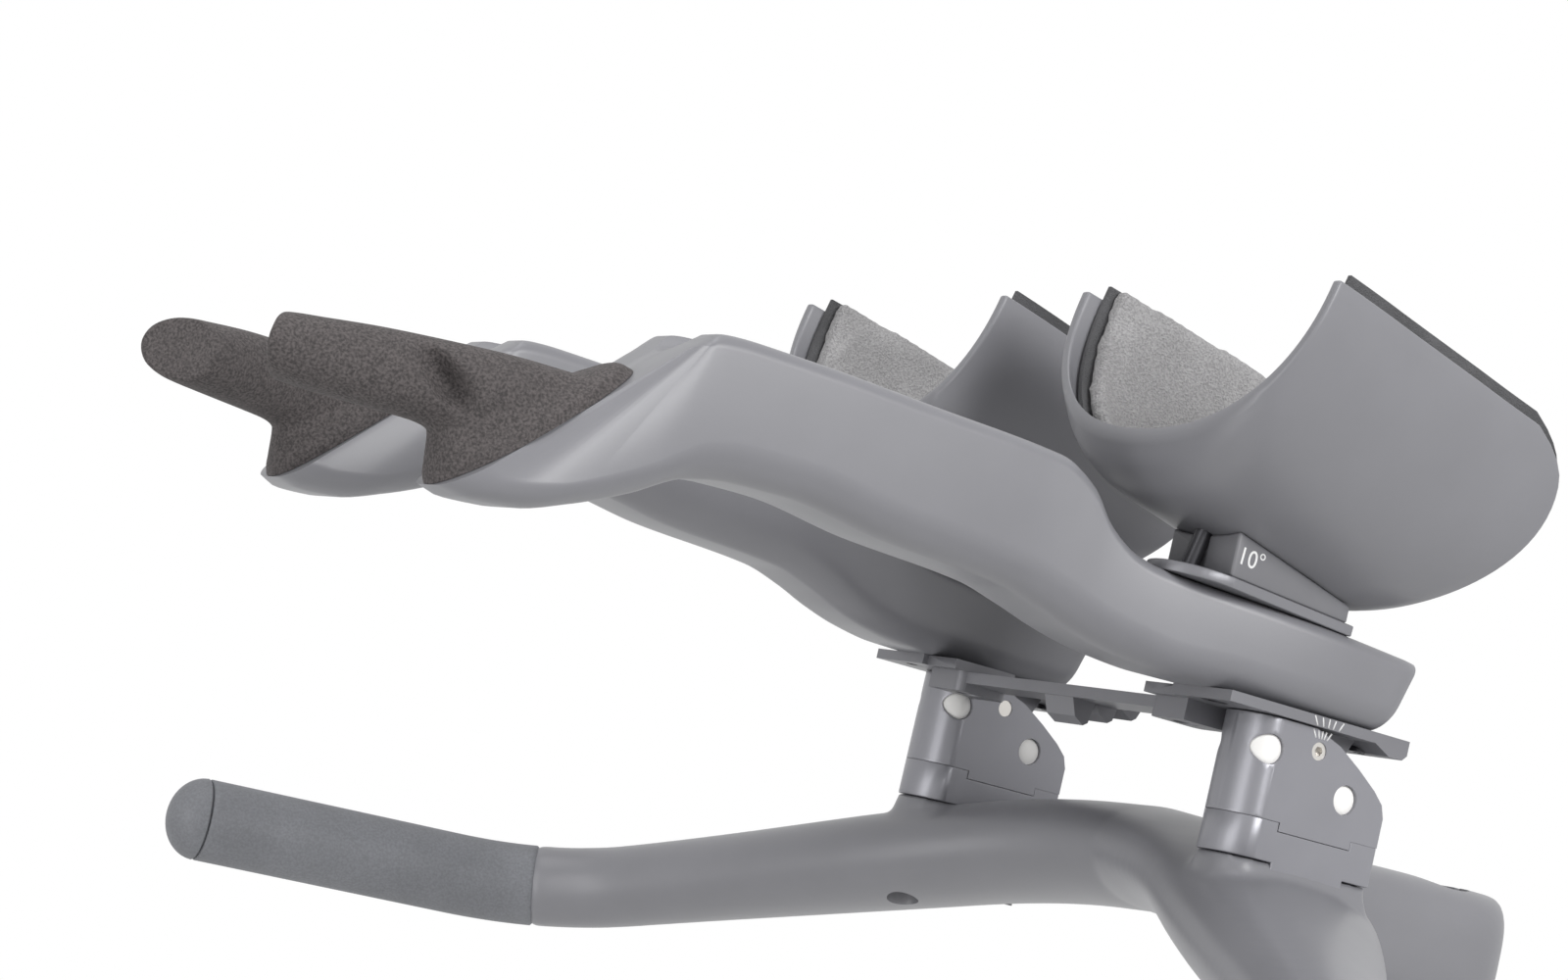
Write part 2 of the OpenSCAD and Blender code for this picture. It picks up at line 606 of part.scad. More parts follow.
// Grip: a flared collar on the mouth, a neck, and a level handle cut off aslant at its tip
grip_top = plate_z + 35.4;
collar_gap = 0.15;
collar_low = mouth_low + mouth_out * collar_gap;
collar_top = mouth_point(0.8) + mouth_out * collar_gap;
grip_keys = [
    [collar_top, collar_low, ext_half - 3],
    [collar_top + [3.4, 0.6], collar_low + [0.8, 2.2], ext_half - 3.2],
    [collar_top + [8, -1.6], collar_low + [1.2, 5], grip_half + 0.4],
    [[peak_reach + 28, grip_top + 0.2], [lip_reach + 2.5, grip_top - grip_t - 1.4], grip_half - 0.8],
    [[peak_reach + 44, grip_top], [lip_reach + 7, grip_top - grip_t], grip_half - 0.6],
    [[lip_reach, grip_top - 0.4], [lip_reach + 13, grip_top - grip_t + 0.3], grip_half - 0.2],
    [[lip_reach + 18, grip_top - 1.2], [lip_reach + 22, grip_top - grip_t + 0.6], grip_half],
    [[grip_tip - 15, grip_top - 2.6], [grip_tip - 16, grip_top - grip_t + 1], grip_half],
    [[grip_tip - 7, grip_top - 3.6], [grip_tip - 8.5, grip_top - grip_t + 1.6], grip_half - 0.3],
    [[grip_tip - 2, grip_top - 5.6], [grip_tip - 3, grip_top - grip_t + 3.4], grip_half - 1.2],
    [[grip_tip, grip_top - 8.4], [grip_tip - 0.4, grip_top - grip_t + 6.4], grip_half - 3.4]];
function oval(half, depth, n = 24) = [for (i = [0 : n - 1]) let (a = i * 360 / n, c = cos(a), s = sin(a))
    [half * sign(c) * pow(abs(c), 0.86), depth / 2 * (1 + sign(s) * pow(abs(s), 0.86))]];
function grip_ring(key) =
    let (top = key[0], low = key[1], d = norm(top - low), dir = (top - low) / d)
    [for (p = oval(key[2], d)) let (at = low + dir * p.y) [at.x, lane(at.x) + p.x, at.y]];
tip_cut = 35;
thumb_u = lip_reach + 9;
thumb_z = grip_top - 11;
thumb_r = 3.6;
thumb_half = 4;
thumb_slope = 38;
thumb_deep = 5.5;
module thumb_recess() {
    translate([thumb_u, lane(thumb_u) + grip_half + 1, thumb_z]) rotate([90, 0, -toe_at(thumb_u)])
        rotate([0, 0, thumb_slope]) hull() for (x = [-thumb_half, thumb_half])
            translate([x, 0, 0]) cylinder(r = thumb_r, h = thumb_deep + 1, $fn = 32);
}
module grip(s) {
    color([0.27, 0.25, 0.25]) leaned() on_side(s) difference() {
        union() {
            skin([for (key = grip_keys) grip_ring(key)]);
            mouth_socket_plug();
        }
        thumb_recess();
        // The tip is cut aslant on its inner side
        translate([grip_tip - 1, lane(grip_tip) + grip_half - 3, grip_top - 2 * grip_t])
            rotate([0, 0, -tip_cut]) translate([0, -60, 0]) cube([40, 120, 60]);
    }
}
module mouth_socket_plug() {
    at_mouth(socket_at) translate([0, 0, 1 - socket_d]) cylinder(r = socket_r, h = socket_d + 2, $fn = 64);
}

// Cup base: a plate with a round front on the extension's deck
base_rear = ext_rear + 24;
base_front = deck_front - 8;
module on_deck(lift = 0) {
    translate([ext_rear, 0, deck_z]) rotate([0, -deck_slope, 0]) translate([-ext_rear, 0, lift]) children();
}
module cup_base(s) {
    color([0.47, 0.47, 0.5]) leaned() on_side(s) difference() {
        on_deck() {
            linear_extrude(base_t) {
                translate([base_front - wedge_w / 2, side]) circle(r = wedge_w / 2, $fn = 64);
                translate([base_rear, side - wedge_w / 2])
                    square([base_front - base_rear - wedge_w / 2, wedge_w]);
            }
        }
        cup_bolt_holes();
    }
}
// Cup: a trough whose keel follows the wedge and lifts at the front
keel_slope = deck_slope + wedge_angle;
wedge_rear = base_rear + 2;
wedge_front = base_front - 2;
base_top = deck_at(wedge_rear) + base_t / cos(deck_slope);
keel_foot = [wedge_rear - 2, base_top + wedge_min];
function keel_at(u) = keel_foot.y + (u - keel_foot.x) * tan(keel_slope);
keel_rear = [keel_foot.x - 9, keel_at(keel_foot.x - 9)];
edge_dir = [cos(keel_slope - 1.5), sin(keel_slope - 1.5)];
edge_rear = [keel_foot.x - 27, keel_foot.y + cup_depth - 1.5];
// Keel and edge of each ring from the front to the rear
keel_front = wedge_front + 17;
function cup_key(u, lift, share) = [[u, keel_at(u) + lift], edge_rear + edge_dir * (cup_len * share)];
cup_keys = [
    cup_key(keel_front, 12, 1), cup_key(keel_front - 2.5, 5, 0.945), cup_key(keel_front - 8, 1, 0.87),
    cup_key(keel_front - 15, 0, 0.79), cup_key(wedge_rear + 44, 0, 0.68), cup_key(wedge_rear + 30, 0, 0.52),
    cup_key(wedge_rear + 16, 0, 0.35), cup_key(wedge_rear + 2, 0, 0.2), cup_key(keel_rear.x, 0, 0.03)];
cup_power = 2.3;
function cup_height(f) = 1 - pow(max(0, 1 - pow(abs(f), cup_power)), 1 / cup_power);
// Spread of the points across a ring, closer together where the walls turn up
cup_steps = 28;
function cup_across(i) = sin(90 * (2 * i / cup_steps - 1));
// The walls bow back between keel and edge, most at the rear, and their upper corners are cut back
rear_bow = 12;
corner_cut = 7;
function cup_bow(key, h) = let (rear = clamp01((keel_front - key[0].x) / (keel_front - keel_rear.x)))
    rear_bow * rear * rear * 4 * h * (1 - h) - corner_cut * rear * rear * pow(max(0, h - 0.75) * 4, 2);
function cup_point(key, f, inset) =
    let (keel = key[0], edge = key[1], d = norm(edge - keel), dir = (edge - keel) / d, h = cup_height(f),
        at = keel + dir * (inset + (d - inset) * h))
    [at.x - cup_bow(key, h), side + f * (cup_w / 2 - inset), at.y];
function cup_ring(key, inner, outer) = concat(
    [for (i = [0 : cup_steps]) cup_point(key, cup_across(i), outer)],
    [for (i = [cup_steps : -1 : 0]) cup_point(key, cup_across(i), inner)]);
module arm_cup(s) {
    color([0.54, 0.54, 0.56]) leaned() on_side(s) difference() {
        strip_skin([for (key = cup_keys) cup_ring(key, cup_t, 0)]);
        cup_bolt_holes();
        at_cup_bolts() translate([0, 0, -cup_sink - fit])
            cylinder(r = cup_head_r + fit, h = 10, $fn = 48);
    }
}
// Pad: lines the cup and stands a little above its edges
pad_rise = 4;
module arm_pad(s) {
    keys = [for (i = [1 : len(cup_keys) - 1]) let (key = cup_keys[i])
        [key[0], key[1] + [-sin(keel_slope), cos(keel_slope)] * pad_rise]];
    color([0.6, 0.6, 0.6]) leaned() on_side(s)
        strip_skin([for (key = keys) cup_ring(key, cup_t + seat + pad_t, cup_t + seat)]);
}
// Wedge: its top follows the cup and its floor lies on the base plate
module cup_wedge(s) {
    steps = [for (i = [0 : 6]) mix(wedge_rear, wedge_front, i / 6)];
    half = wedge_w / 2 - 1;
    color([0.42, 0.42, 0.45]) leaned() on_side(s) difference() {
        skin([for (u = steps) concat(
            [for (i = [0 : 8]) let (y = half * (1 - i / 4))
                [u, side + y, keel_at(u) + cup_depth * cup_height(y / (cup_w / 2)) - 0.1]],
            [[u, side - half, deck_at(u) + base_t / cos(deck_slope)],
                [u, side + half, deck_at(u) + base_t / cos(deck_slope)]])]);
        cup_bolt_holes();
    }
}
cup_bolt_us = [wedge_rear + 9, wedge_front - 12];
module at_cup_bolts() {
    for (u = cup_bolt_us) translate([u, side, keel_at(u) + cup_t / cos(keel_slope)])
        rotate([0, -keel_slope, 0]) children();
}
// The bolts' heads are sunk in the cup's keel
cup_bolt_r = 2.5;
cup_head_r = 4.5;
cup_head_h = 1.6;
cup_sink = 1.9;
cup_bolt_len = 24;
module cup_bolt_holes() {
    at_cup_bolts() translate([0, 0, -cup_bolt_len - 4])
        cylinder(r = cup_bolt_r + fit, h = cup_bolt_len + 10, $fn = 48);
}
module cup_bolts(s) {
    color([0.3, 0.3, 0.32]) leaned() on_side(s) at_cup_bolts()
        translate([0, 0, -cup_sink]) socket_bolt(cup_bolt_r, cup_bolt_len, cup_head_r, cup_head_h);
}

base_bar();
bar_sleeve(1);  // bar_sleeve_left
bar_sleeve(-1);  // bar_sleeve_right
bar_plug(1);  // bar_plug_left
bar_plug(-1);  // bar_plug_right
clamp_bolts();
riser_spacer(1);  // riser_spacer_left
riser_spacer(-1);  // riser_spacer_right
riser_bracket(1);  // riser_bracket_left
riser_bracket(-1);  // riser_bracket_right
riser_bolts(1);  // riser_bolts_left
riser_bolts(-1);  // riser_bolts_right
pivot_pin(1);  // pivot_pin_left
pivot_pin(-1);  // pivot_pin_right
tilt_plate(1);  // tilt_plate_left
tilt_plate(-1);  // tilt_plate_right
plate_bolts(1);  // plate_bolts_left
plate_bolts(-1);  // plate_bolts_right
bridge();
bridge_bolts();
extension(1);  // extension_left
extension(-1);  // extension_right
grip(1);  // grip_left
grip(-1);  // grip_right
cup_base(1);  // cup_base_left
cup_base(-1);  // cup_base_right
cup_wedge(1);  // cup_wedge_left
cup_wedge(-1);  // cup_wedge_right
arm_cup(1);  // arm_cup_left
arm_cup(-1);  // arm_cup_right
cup_bolts(1);  // cup_bolts_left
cup_bolts(-1);  // cup_bolts_right
arm_pad(1);  // arm_pad_left
arm_pad(-1);  // arm_pad_right
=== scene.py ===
# %% [markdown]
# The part is a time-trial handlebar: one swept bar with its stem, and two extensions that tilt on risers.
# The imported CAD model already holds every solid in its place, so the scene starts from it. It could
# start from nothing, but then a grip or a cup could drift away from what carries it.

# %% Load the frame and keep its box
from math import atan, cos, pi, radians, sin, tan

import bmesh
import bpy
import numpy as np
from mathutils import Matrix, Vector


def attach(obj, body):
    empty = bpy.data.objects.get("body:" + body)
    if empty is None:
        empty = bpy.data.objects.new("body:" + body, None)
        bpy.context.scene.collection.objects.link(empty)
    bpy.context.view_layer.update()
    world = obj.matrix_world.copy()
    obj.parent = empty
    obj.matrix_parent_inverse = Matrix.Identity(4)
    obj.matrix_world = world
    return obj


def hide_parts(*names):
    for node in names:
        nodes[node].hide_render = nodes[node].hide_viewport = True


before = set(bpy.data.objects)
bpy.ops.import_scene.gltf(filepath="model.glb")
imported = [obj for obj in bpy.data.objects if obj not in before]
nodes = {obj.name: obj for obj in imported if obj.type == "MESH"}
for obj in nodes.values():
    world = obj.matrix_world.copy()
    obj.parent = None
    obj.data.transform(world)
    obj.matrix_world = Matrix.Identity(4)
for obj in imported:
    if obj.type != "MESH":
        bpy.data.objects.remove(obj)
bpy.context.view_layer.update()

# %% [markdown]
# The photograph was taken from ahead of the bar and to its left, a little above it, with a long lens.
# A camera could be aimed with a constraint. Here its three axes are written out, because they came out
# of fitting the photograph and leave nothing to guess.

# %% Camera
CAMERA_AT = (0.7089, 0.8121, 0.1684)
RIGHTWARD = Vector((-0.8592, 0.5117, 0.0))
FORWARD = Vector((-0.5115, -0.8589, -0.0269))
LENS = 79.07
camera = bpy.data.objects.new("camera", bpy.data.cameras.new("camera"))
bpy.context.scene.collection.objects.link(camera)
upward = RIGHTWARD.cross(FORWARD)
turn = Matrix((RIGHTWARD, upward, -FORWARD)).transposed().to_4x4()
camera.matrix_world = Matrix.Translation(CAMERA_AT) @ turn
camera.data.lens = LENS
camera.data.sensor_width = 36.0
camera.data.clip_start = 0.01
bpy.context.scene.camera = camera
bpy.context.scene.view_settings.view_transform = "Standard"

# %% [markdown]
# Satin paint shows what surrounds it: wide pale bands where a soft lamp is reflected, and darker tones
# where nothing is. A bare sun would give hard shadows. Large area lamps give the soft bands of a studio,
# and a grey world fills in the rest.

# %% Lamps
MIDDLE = Vector((0.19, 0.0, 0.09))


def softbox(name, place, width, height, watts):
    """An area lamp that faces the bar's middle."""
    data = bpy.data.lights.new(name, "AREA")
    data.shape = "RECTANGLE"
    data.size, data.size_y, data.energy = width, height, watts
    lamp = bpy.data.objects.new(name, data)
    lamp.location = MIDDLE + Vector(place)
    lamp.rotation_euler = (-Vector(place)).to_track_quat("-Z", "Y").to_euler()
    bpy.context.scene.collection.objects.link(lamp)
    return lamp


softbox("front_softbox", (1.5, 0.1, 0.35), 0.8, 1.4, 11)
softbox("outer_softbox", (-0.3, 1.6, 0.6), 1.0, 0.7, 24)
softbox("top_softbox", (0.1, 0.0, 1.8), 1.6, 1.6, 15)

# %% [markdown]
# The backdrop is plain white. More light would wash the bar out, so only rays that come straight from the
# camera, or off gloss and glass, find white. All other rays find a soft grey.

# %% World and floor
WHITE = (1.0, 1.0, 1.0, 1.0)
AMBIENT = 0.3
FLOOR_COLOUR = (0.82, 0.82, 0.81, 1.0)


def seen_directly(tree):
    """1 for rays from the camera, off gloss or through glass, and 0 for the rest."""
    path = tree.nodes.new("ShaderNodeLightPath")
    found = path.outputs["Is Camera Ray"]
    for kind in ("Is Glossy Ray", "Is Transmission Ray"):
        either = tree.nodes.new("ShaderNodeMath")
        either.operation = "MAXIMUM"
        tree.links.new(found, either.inputs[0])
        tree.links.new(path.outputs[kind], either.inputs[1])
        found = either.outputs[0]
    return found


world = bpy.data.worlds.new("studio")
bpy.context.scene.world = world
world.use_nodes = True
tree = world.node_tree
tree.nodes.clear()
ambient, backdrop = tree.nodes.new("ShaderNodeBackground"), tree.nodes.new("ShaderNodeBackground")
ambient.inputs["Strength"].default_value = AMBIENT
ambient.inputs["Color"].default_value = WHITE
backdrop.inputs["Color"].default_value = WHITE
choose, out = tree.nodes.new("ShaderNodeMixShader"), tree.nodes.new("ShaderNodeOutputWorld")
tree.links.new(seen_directly(tree), choose.inputs[0])
tree.links.new(ambient.outputs[0], choose.inputs[1])
tree.links.new(backdrop.outputs[0], choose.inputs[2])
tree.links.new(choose.outputs[0], out.inputs["Surface"])

bpy.ops.mesh.primitive_plane_add(size=8.0, location=(0.2, 0.0, -0.55))
floor = bpy.context.object
floor.name = "floor"
paper = bpy.data.materials.new("white_paper")
paper.use_nodes = True
tree = paper.node_tree
glow, choose = tree.nodes.new("ShaderNodeEmission"), tree.nodes.new("ShaderNodeMixShader")
matt = tree.nodes["Principled BSDF"]
matt.inputs["Base Color"].default_value = FLOOR_COLOUR
matt.inputs["Roughness"].default_value = 0.9
glow.inputs["Color"].default_value = WHITE
tree.links.new(seen_directly(tree), choose.inputs[0])
tree.links.new(matt.outputs[0], choose.inputs[1])
tree.links.new(glow.outputs[0], choose.inputs[2])
tree.links.new(choose.outputs[0], tree.nodes["Material Output"].inputs["Surface"])
floor.data.materials.append(paper)
print("floor and world are white to the eye, ambient strength", AMBIENT)

# %% [markdown]
# Every finish here is a plain colour that is never quite even: paint has a faint cloudiness and an
# orange-peel skin, rubber a fine grain, fabric loops of yarn. One helper lays a cloudy colour and a
# bumpy grain on the standard surface shader, and each finish then only names its own numbers.

# %% Helper for finishes
FINISHES = {}


def finish(name, colour, roughness, cloud=0.06, grain=0.0006, bump=0.1, depth=0.0001, metallic=0.0, speckle=0.0):
    """A surface with a cloudy colour and a fine grain; grain and depth are in metres."""
    material = bpy.data.materials.new(name)
    material.use_nodes = True
    tree = material.node_tree
    surface = tree.nodes["Principled BSDF"]
    surface.inputs["Metallic"].default_value = metallic
    place = tree.nodes.new("ShaderNodeTexCoord").outputs["Object"]
    clouds = tree.nodes.new("ShaderNodeTexNoise")
    clouds.inputs["Scale"].default_value = 38.0
    clouds.inputs["Detail"].default_value = 4.0
    tree.links.new(place, clouds.inputs["Vector"])
    shades = tree.nodes.new("ShaderNodeValToRGB")
    for stop, share in zip(shades.color_ramp.elements, (1 - cloud, 1 + cloud)):
        stop.color = [c * share for c in colour] + [1.0]
    shades.color_ramp.elements[0].position = 0.3
    shades.color_ramp.elements[1].position = 0.7
    tree.links.new(clouds.outputs["Fac"], shades.inputs["Fac"])
    gloss = tree.nodes.new("ShaderNodeMapRange")
    gloss.inputs["To Min"].default_value = roughness - 0.05
    gloss.inputs["To Max"].default_value = roughness + 0.05
    tree.links.new(clouds.outputs["Fac"], gloss.inputs["Value"])
    tree.links.new(gloss.outputs["Result"], surface.inputs["Roughness"])
    grains = tree.nodes.new("ShaderNodeTexNoise")
    grains.inputs["Scale"].default_value = 1.0 / grain
    grains.inputs["Detail"].default_value = 2.0
    tree.links.new(place, grains.inputs["Vector"])
    flecks = tree.nodes.new("ShaderNodeMapRange")
    flecks.inputs["From Min"].default_value, flecks.inputs["From Max"].default_value = 0.35, 0.65
    flecks.inputs["To Min"].default_value, flecks.inputs["To Max"].default_value = 1 - speckle, 1 + speckle
    tree.links.new(grains.outputs["Fac"], flecks.inputs["Value"])
    speckled = tree.nodes.new("ShaderNodeVectorMath")
    speckled.operation = "SCALE"
    tree.links.new(shades.outputs["Color"], speckled.inputs[0])
    tree.links.new(flecks.outputs["Result"], speckled.inputs["Scale"])
    tree.links.new(speckled.outputs["Vector"], surface.inputs["Base Color"])
    relief = tree.nodes.new("ShaderNodeBump")
    relief.inputs["Strength"].default_value = bump
    relief.inputs["Distance"].default_value = depth
    tree.links.new(grains.outputs["Fac"], relief.inputs["Height"])
    tree.links.new(relief.outputs["Normal"], surface.inputs["Normal"])
    FINISHES[name] = material
    return material


# %% [markdown]
# The bar and the extensions are moulded carbon under a satin grey paint. A car paint with a clear coat
# would look wet, so the paint is one rough layer with a very faint orange peel.

# %% Paint, rubber, metal and plastic
finish("satin_paint", (0.2, 0.2, 0.216), 0.38, cloud=0.03, grain=0.0011, bump=0.12)
finish("dull_sleeve", (0.17, 0.175, 0.19), 0.6, cloud=0.12, grain=0.0008, bump=0.3, speckle=0.1)
finish("grip_rubber", (0.066, 0.058, 0.058), 0.8, cloud=0.08, grain=0.0007, bump=0.8, depth=0.0005, speckle=0.5)
finish("anodised_alloy", (0.25, 0.25, 0.272), 0.36, cloud=0.04, grain=0.0005, bump=0.08, metallic=0.45)
finish("plate_alloy", (0.19, 0.19, 0.205), 0.42, cloud=0.05, grain=0.0005, bump=0.08, metallic=0.35)
finish("moulded_plastic", (0.16, 0.16, 0.172), 0.42, cloud=0.05, grain=0.0005, bump=0.1)
finish("black_steel", (0.05, 0.05, 0.055), 0.38, cloud=0.1, grain=0.0004, bump=0.1, metallic=0.8)
finish("bright_steel", (0.62, 0.6, 0.57), 0.3, cloud=0.06, grain=0.0003, bump=0.1, metallic=1.0)
finish("white_ink", (0.75, 0.75, 0.75), 0.6, cloud=0.02)
# The pale finish of the hole caps is painted light: it stands in for the backdrop and the highlight that show through
# the bracket's cross holes.
finish("pale_nylon", (0.9, 0.89, 0.87), 0.5, cloud=0.02)
finish("knit_fabric", (0.33, 0.325, 0.33), 0.85, cloud=0.14, grain=0.0007, bump=1.0, depth=0.0009, speckle=0.16)
finish("hook_backing", (0.10, 0.10, 0.105), 0.95, cloud=0.35, grain=0.0004, bump=1.0, depth=0.0008)
print("finishes:", sorted(FINISHES))

# %% [markdown]
# All shapes are written as the bar's maker would draw them: u forward, y to the left and w along the
# steerer, in millimetres, with the steerer upright. One turn leans them back into the row's frame.

# %% Bar frame and meshes
STEERER_LEAN = radians(15.5)
LEAN = np.array([[cos(STEERER_LEAN), 0, -sin(STEERER_LEAN)], [0, 1, 0],
                 [sin(STEERER_LEAN), 0, cos(STEERER_LEAN)]])
MM = 0.001
SIDE = 75.0
LEFT, RIGHT = 1, -1
NAMES = {LEFT: "left", RIGHT: "right"}


def to_row(points):
    return np.asarray(points, float) @ LEAN.T * MM


def mesh_object(name, points, faces, side=LEFT):
    """A smooth-shaded mesh from points in the bar frame, mirrored for the right side."""
    rows = to_row(points) * (1, side, 1)
    data = bpy.data.meshes.new(name)
    data.from_pydata(rows.tolist(), [], [tuple(f) for f in faces])
    work = bmesh.new()
    work.from_mesh(data)
    bmesh.ops.recalc_face_normals(work, faces=work.faces)
    work.to_mesh(data)
    work.free()
    data.shade_smooth()
    piece = bpy.data.objects.new(name, data)
    bpy.context.scene.collection.objects.link(piece)
    return piece


def loft(rings):
    """Points and faces of a closed skin over rings of points, with a flat cap at each end."""
    rings = np.asarray(rings, float)
    count, around = rings.shape[:2]
    faces = [(j * around + i, j * around + (i + 1) % around, (j + 1) * around + (i + 1) % around,
              (j + 1) * around + i) for j in range(count - 1) for i in range(around)]
    faces += [range(around), range((count - 1) * around, count * around)]
    return rings.reshape(-1, 3), faces


def smooth_through(keys, count):
    """Rows that pass through the keys without overshooting them, evenly spaced along the way."""
    keys = np.asarray(keys, float)
    gap = np.linalg.norm(np.diff(keys, axis=0), axis=1)[:, None]
    slope = np.diff(keys, axis=0) / gap
    before, after = slope[:-1], slope[1:]
    near, far = 2 * gap[1:] + gap[:-1], gap[1:] + 2 * gap[:-1]
    rising = before * after > 1e-12
    safe_before, safe_after = np.where(rising, before, 1.0), np.where(rising, after, 1.0)
    middle = np.where(rising, (near + far) / (near / safe_before + far / safe_after), 0.0)
    tangent = np.vstack([slope[:1], middle, slope[-1:]])
    stations = np.concatenate([[0.0], np.cumsum(gap[:, 0])])
    places = np.linspace(0, stations[-1], count)
    index = np.clip(np.searchsorted(stations, places, side="right") - 1, 0, len(gap) - 1)
    h = gap[index]
    t = ((places - stations[index]) / h[:, 0])[:, None]
    return ((2 * t**3 - 3 * t**2 + 1) * keys[index] + (t**3 - 2 * t**2 + t) * h * tangent[index]
            + (3 * t**2 - 2 * t**3) * keys[index + 1] + (t**3 - t**2) * h * tangent[index + 1])


def applied(piece, kind, **settings):
    """Adds one modifier with these settings and bakes it into the mesh."""
    modifier = piece.modifiers.new(kind.lower(), kind)
    for key, value in settings.items():
        setattr(modifier, key, value)
    evaluated = piece.evaluated_get(bpy.context.evaluated_depsgraph_get())
    made = bpy.data.meshes.new_from_object(evaluated)
    piece.modifiers.clear()
    old, piece.data = piece.data, made
    bpy.data.meshes.remove(old)
    return piece


def carve(piece, cutter):
    """Takes the cutter's shape out of the piece and throws the cutter away."""
    applied(piece, "BOOLEAN", object=cutter, operation="DIFFERENCE", solver="EXACT")
    bpy.data.objects.remove(cutter)


def done(piece, body, look, replaced=(), sharp=None):
    """Paints a finished piece, hangs it on its body and hides the CAD nodes it stands for."""
    piece.data.materials.clear()
    piece.data.materials.append(FINISHES[look])
    if sharp is not None:
        piece.data.shade_smooth()
        piece.data.set_sharp_from_angle(angle=radians(sharp))
    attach(piece, body)
    if replaced:
        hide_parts(*replaced)
    print(piece.name, "has", len(piece.data.polygons), "faces")
    return piece


# %% [markdown]
# The base bar is one carbon moulding: a wing in the middle that turns into round horns, a stem that grows
# out behind it, and two feet for the risers. The wing could be drawn with a curve and a bevel, but its
# section changes from flat to round, so it is a loft of many sections along a bent line.

# %% Centre line of the bar
HORN_D = 26.2
SLEEVE_T = 1.6
WING_MID = np.array([94.0, 0, 5.5])
KNEE = WING_MID + (9, 46, -3)
BEND = np.array([188.0, 206.0, -48.0])
HORN_WAY = np.array([119.0, 19.0, -1.8]) / np.hypot(119, 19)
TIP = BEND + HORN_WAY * 119


def unit(v):
    return v / np.linalg.norm(v)


def rounded(a, b, c, reach, t):
    """Point at share t of the curve that rounds the corner b of the line a-b-c."""
    p, q = b + unit(a - b) * reach, b + unit(c - b) * reach
    return (p * (1 - t) + b * t) * (1 - t) + (b * (1 - t) + q * t) * t


def ease(t):
    t = np.clip(t, 0, 1)
    return t * t * (3 - 2 * t)


def between(keys, x):
    """Smooth value at x through a list of (x, value) pairs."""
    for (x0, v0), (x1, v1) in zip(keys, keys[1:]):
        if x <= x1:
            return v0 + (v1 - v0) * ease((x - x0) / (x1 - x0))
    return keys[-1][1]


def evenly(line, step):
    """The same line with points about step apart."""
    line = np.asarray(line, float)
    run = np.concatenate([[0], np.cumsum(np.linalg.norm(np.diff(line, axis=0), axis=1))])
    places = np.linspace(0, run[-1], int(run[-1] / step) + 2)
    return np.stack([np.interp(places, run, line[:, k]) for k in range(3)], axis=1)


def headings(line):
    return [unit(line[min(i + 1, len(line) - 1)] - line[max(i - 1, 0)]) for i in range(len(line))]


SEAM_AT = 0.55
knee_curve = [rounded(WING_MID, KNEE, BEND, 30, t) for t in np.linspace(0, 1, 12)]
bend_curve = [rounded(KNEE, BEND, TIP, 34, t) for t in np.linspace(0, 1, 41)]
seam_index = int(SEAM_AT * 40)
half_line = evenly([WING_MID, *knee_curve, *bend_curve[:seam_index + 1]], 2.5)
horn_line = evenly([*bend_curve[seam_index:], TIP], 2.5)
print("bar line has", len(half_line), "sections a side, the horn", len(horn_line))

# %% Sections of the wing and the stem
STEPS = 72
turns = np.linspace(0, 2 * pi, STEPS, endpoint=False)
CHORD = [(58, 64.0), (192, HORN_D + 3), (206, HORN_D)]
THICKNESS = [(46, 30.0), (192, HORN_D)]


def wing_section(p, way):
    """A rounded nose and a finer tail in the middle, round on the horns."""
    fore = -unit(np.cross((0, 0, 1), way))
    lift = -np.cross(fore, way)
    chord, thick = between(CHORD, abs(p[1])), between(THICKNESS, abs(p[1]))
    finer = np.clip((chord - HORN_D) / 30, 0, 1) * 0.22
    return (p + np.outer(chord / 2 * np.cos(turns), fore)
            + np.outer(thick / 2 * np.sin(turns) * (1 + finer * np.cos(turns)), lift))


def round_section(p, way, radius):
    fore = -unit(np.cross((0, 0, 1), way))
    lift = -np.cross(fore, way)
    return p + radius * (np.outer(np.cos(turns), fore) + np.outer(np.sin(turns), lift))


STEM_REAR, STEM_END, STEM_W, CLAMP_H = 27.0, 25.0, 46.0, 40.0


def stem_section(u):
    share = ease((u - 12) / 78)
    height, lift = CLAMP_H + (26 - CLAMP_H) * share, WING_MID[2] * share
    if u < -2:
        width = STEM_W * (1 - (-(u + 2) / (STEM_REAR - 2)) ** 2.6) ** (1 / 2.6)
    else:
        width = STEM_W + 60 * np.clip((u - 26) / 64, 0, 1) ** 3
    c, s = np.cos(turns), np.sin(turns)
    return np.stack([np.full(STEPS, u), width / 2 * np.sign(c) * abs(c) ** 0.62,
                     lift + height / 2 * np.sign(s) * abs(s) ** 0.62], axis=1)


whole_line = np.vstack([half_line[:0:-1] * (1, -1, 1), half_line])
bar = mesh_object("base_bar_moulding", *loft([wing_section(p, way) for p, way in zip(whole_line, headings(whole_line))]))
stem_steps = np.concatenate([-STEM_END * np.cos(np.linspace(0, 1.35, 14)), np.linspace(-3, 94, 40)])
stem = mesh_object("stem_part", *loft([stem_section(u) for u in stem_steps]))
print("wing and stem lofted")

# %% [markdown]
# Each foot rises out of the wing with a soft fairing. Modelling that blend by hand takes long, so the
# overlapping closed shapes are joined, turned into one skin by a voxel remesh, and smoothed a little:
# the smoothing fills the inner corners just as a mould maker's fillet does.

# %% Feet, and one skin over all
NOSE, NOSE_ROUND, TAIL, RISER_W, FOOT_TOP = 137.0, 7.4, 96.0, 22.0, 8.5


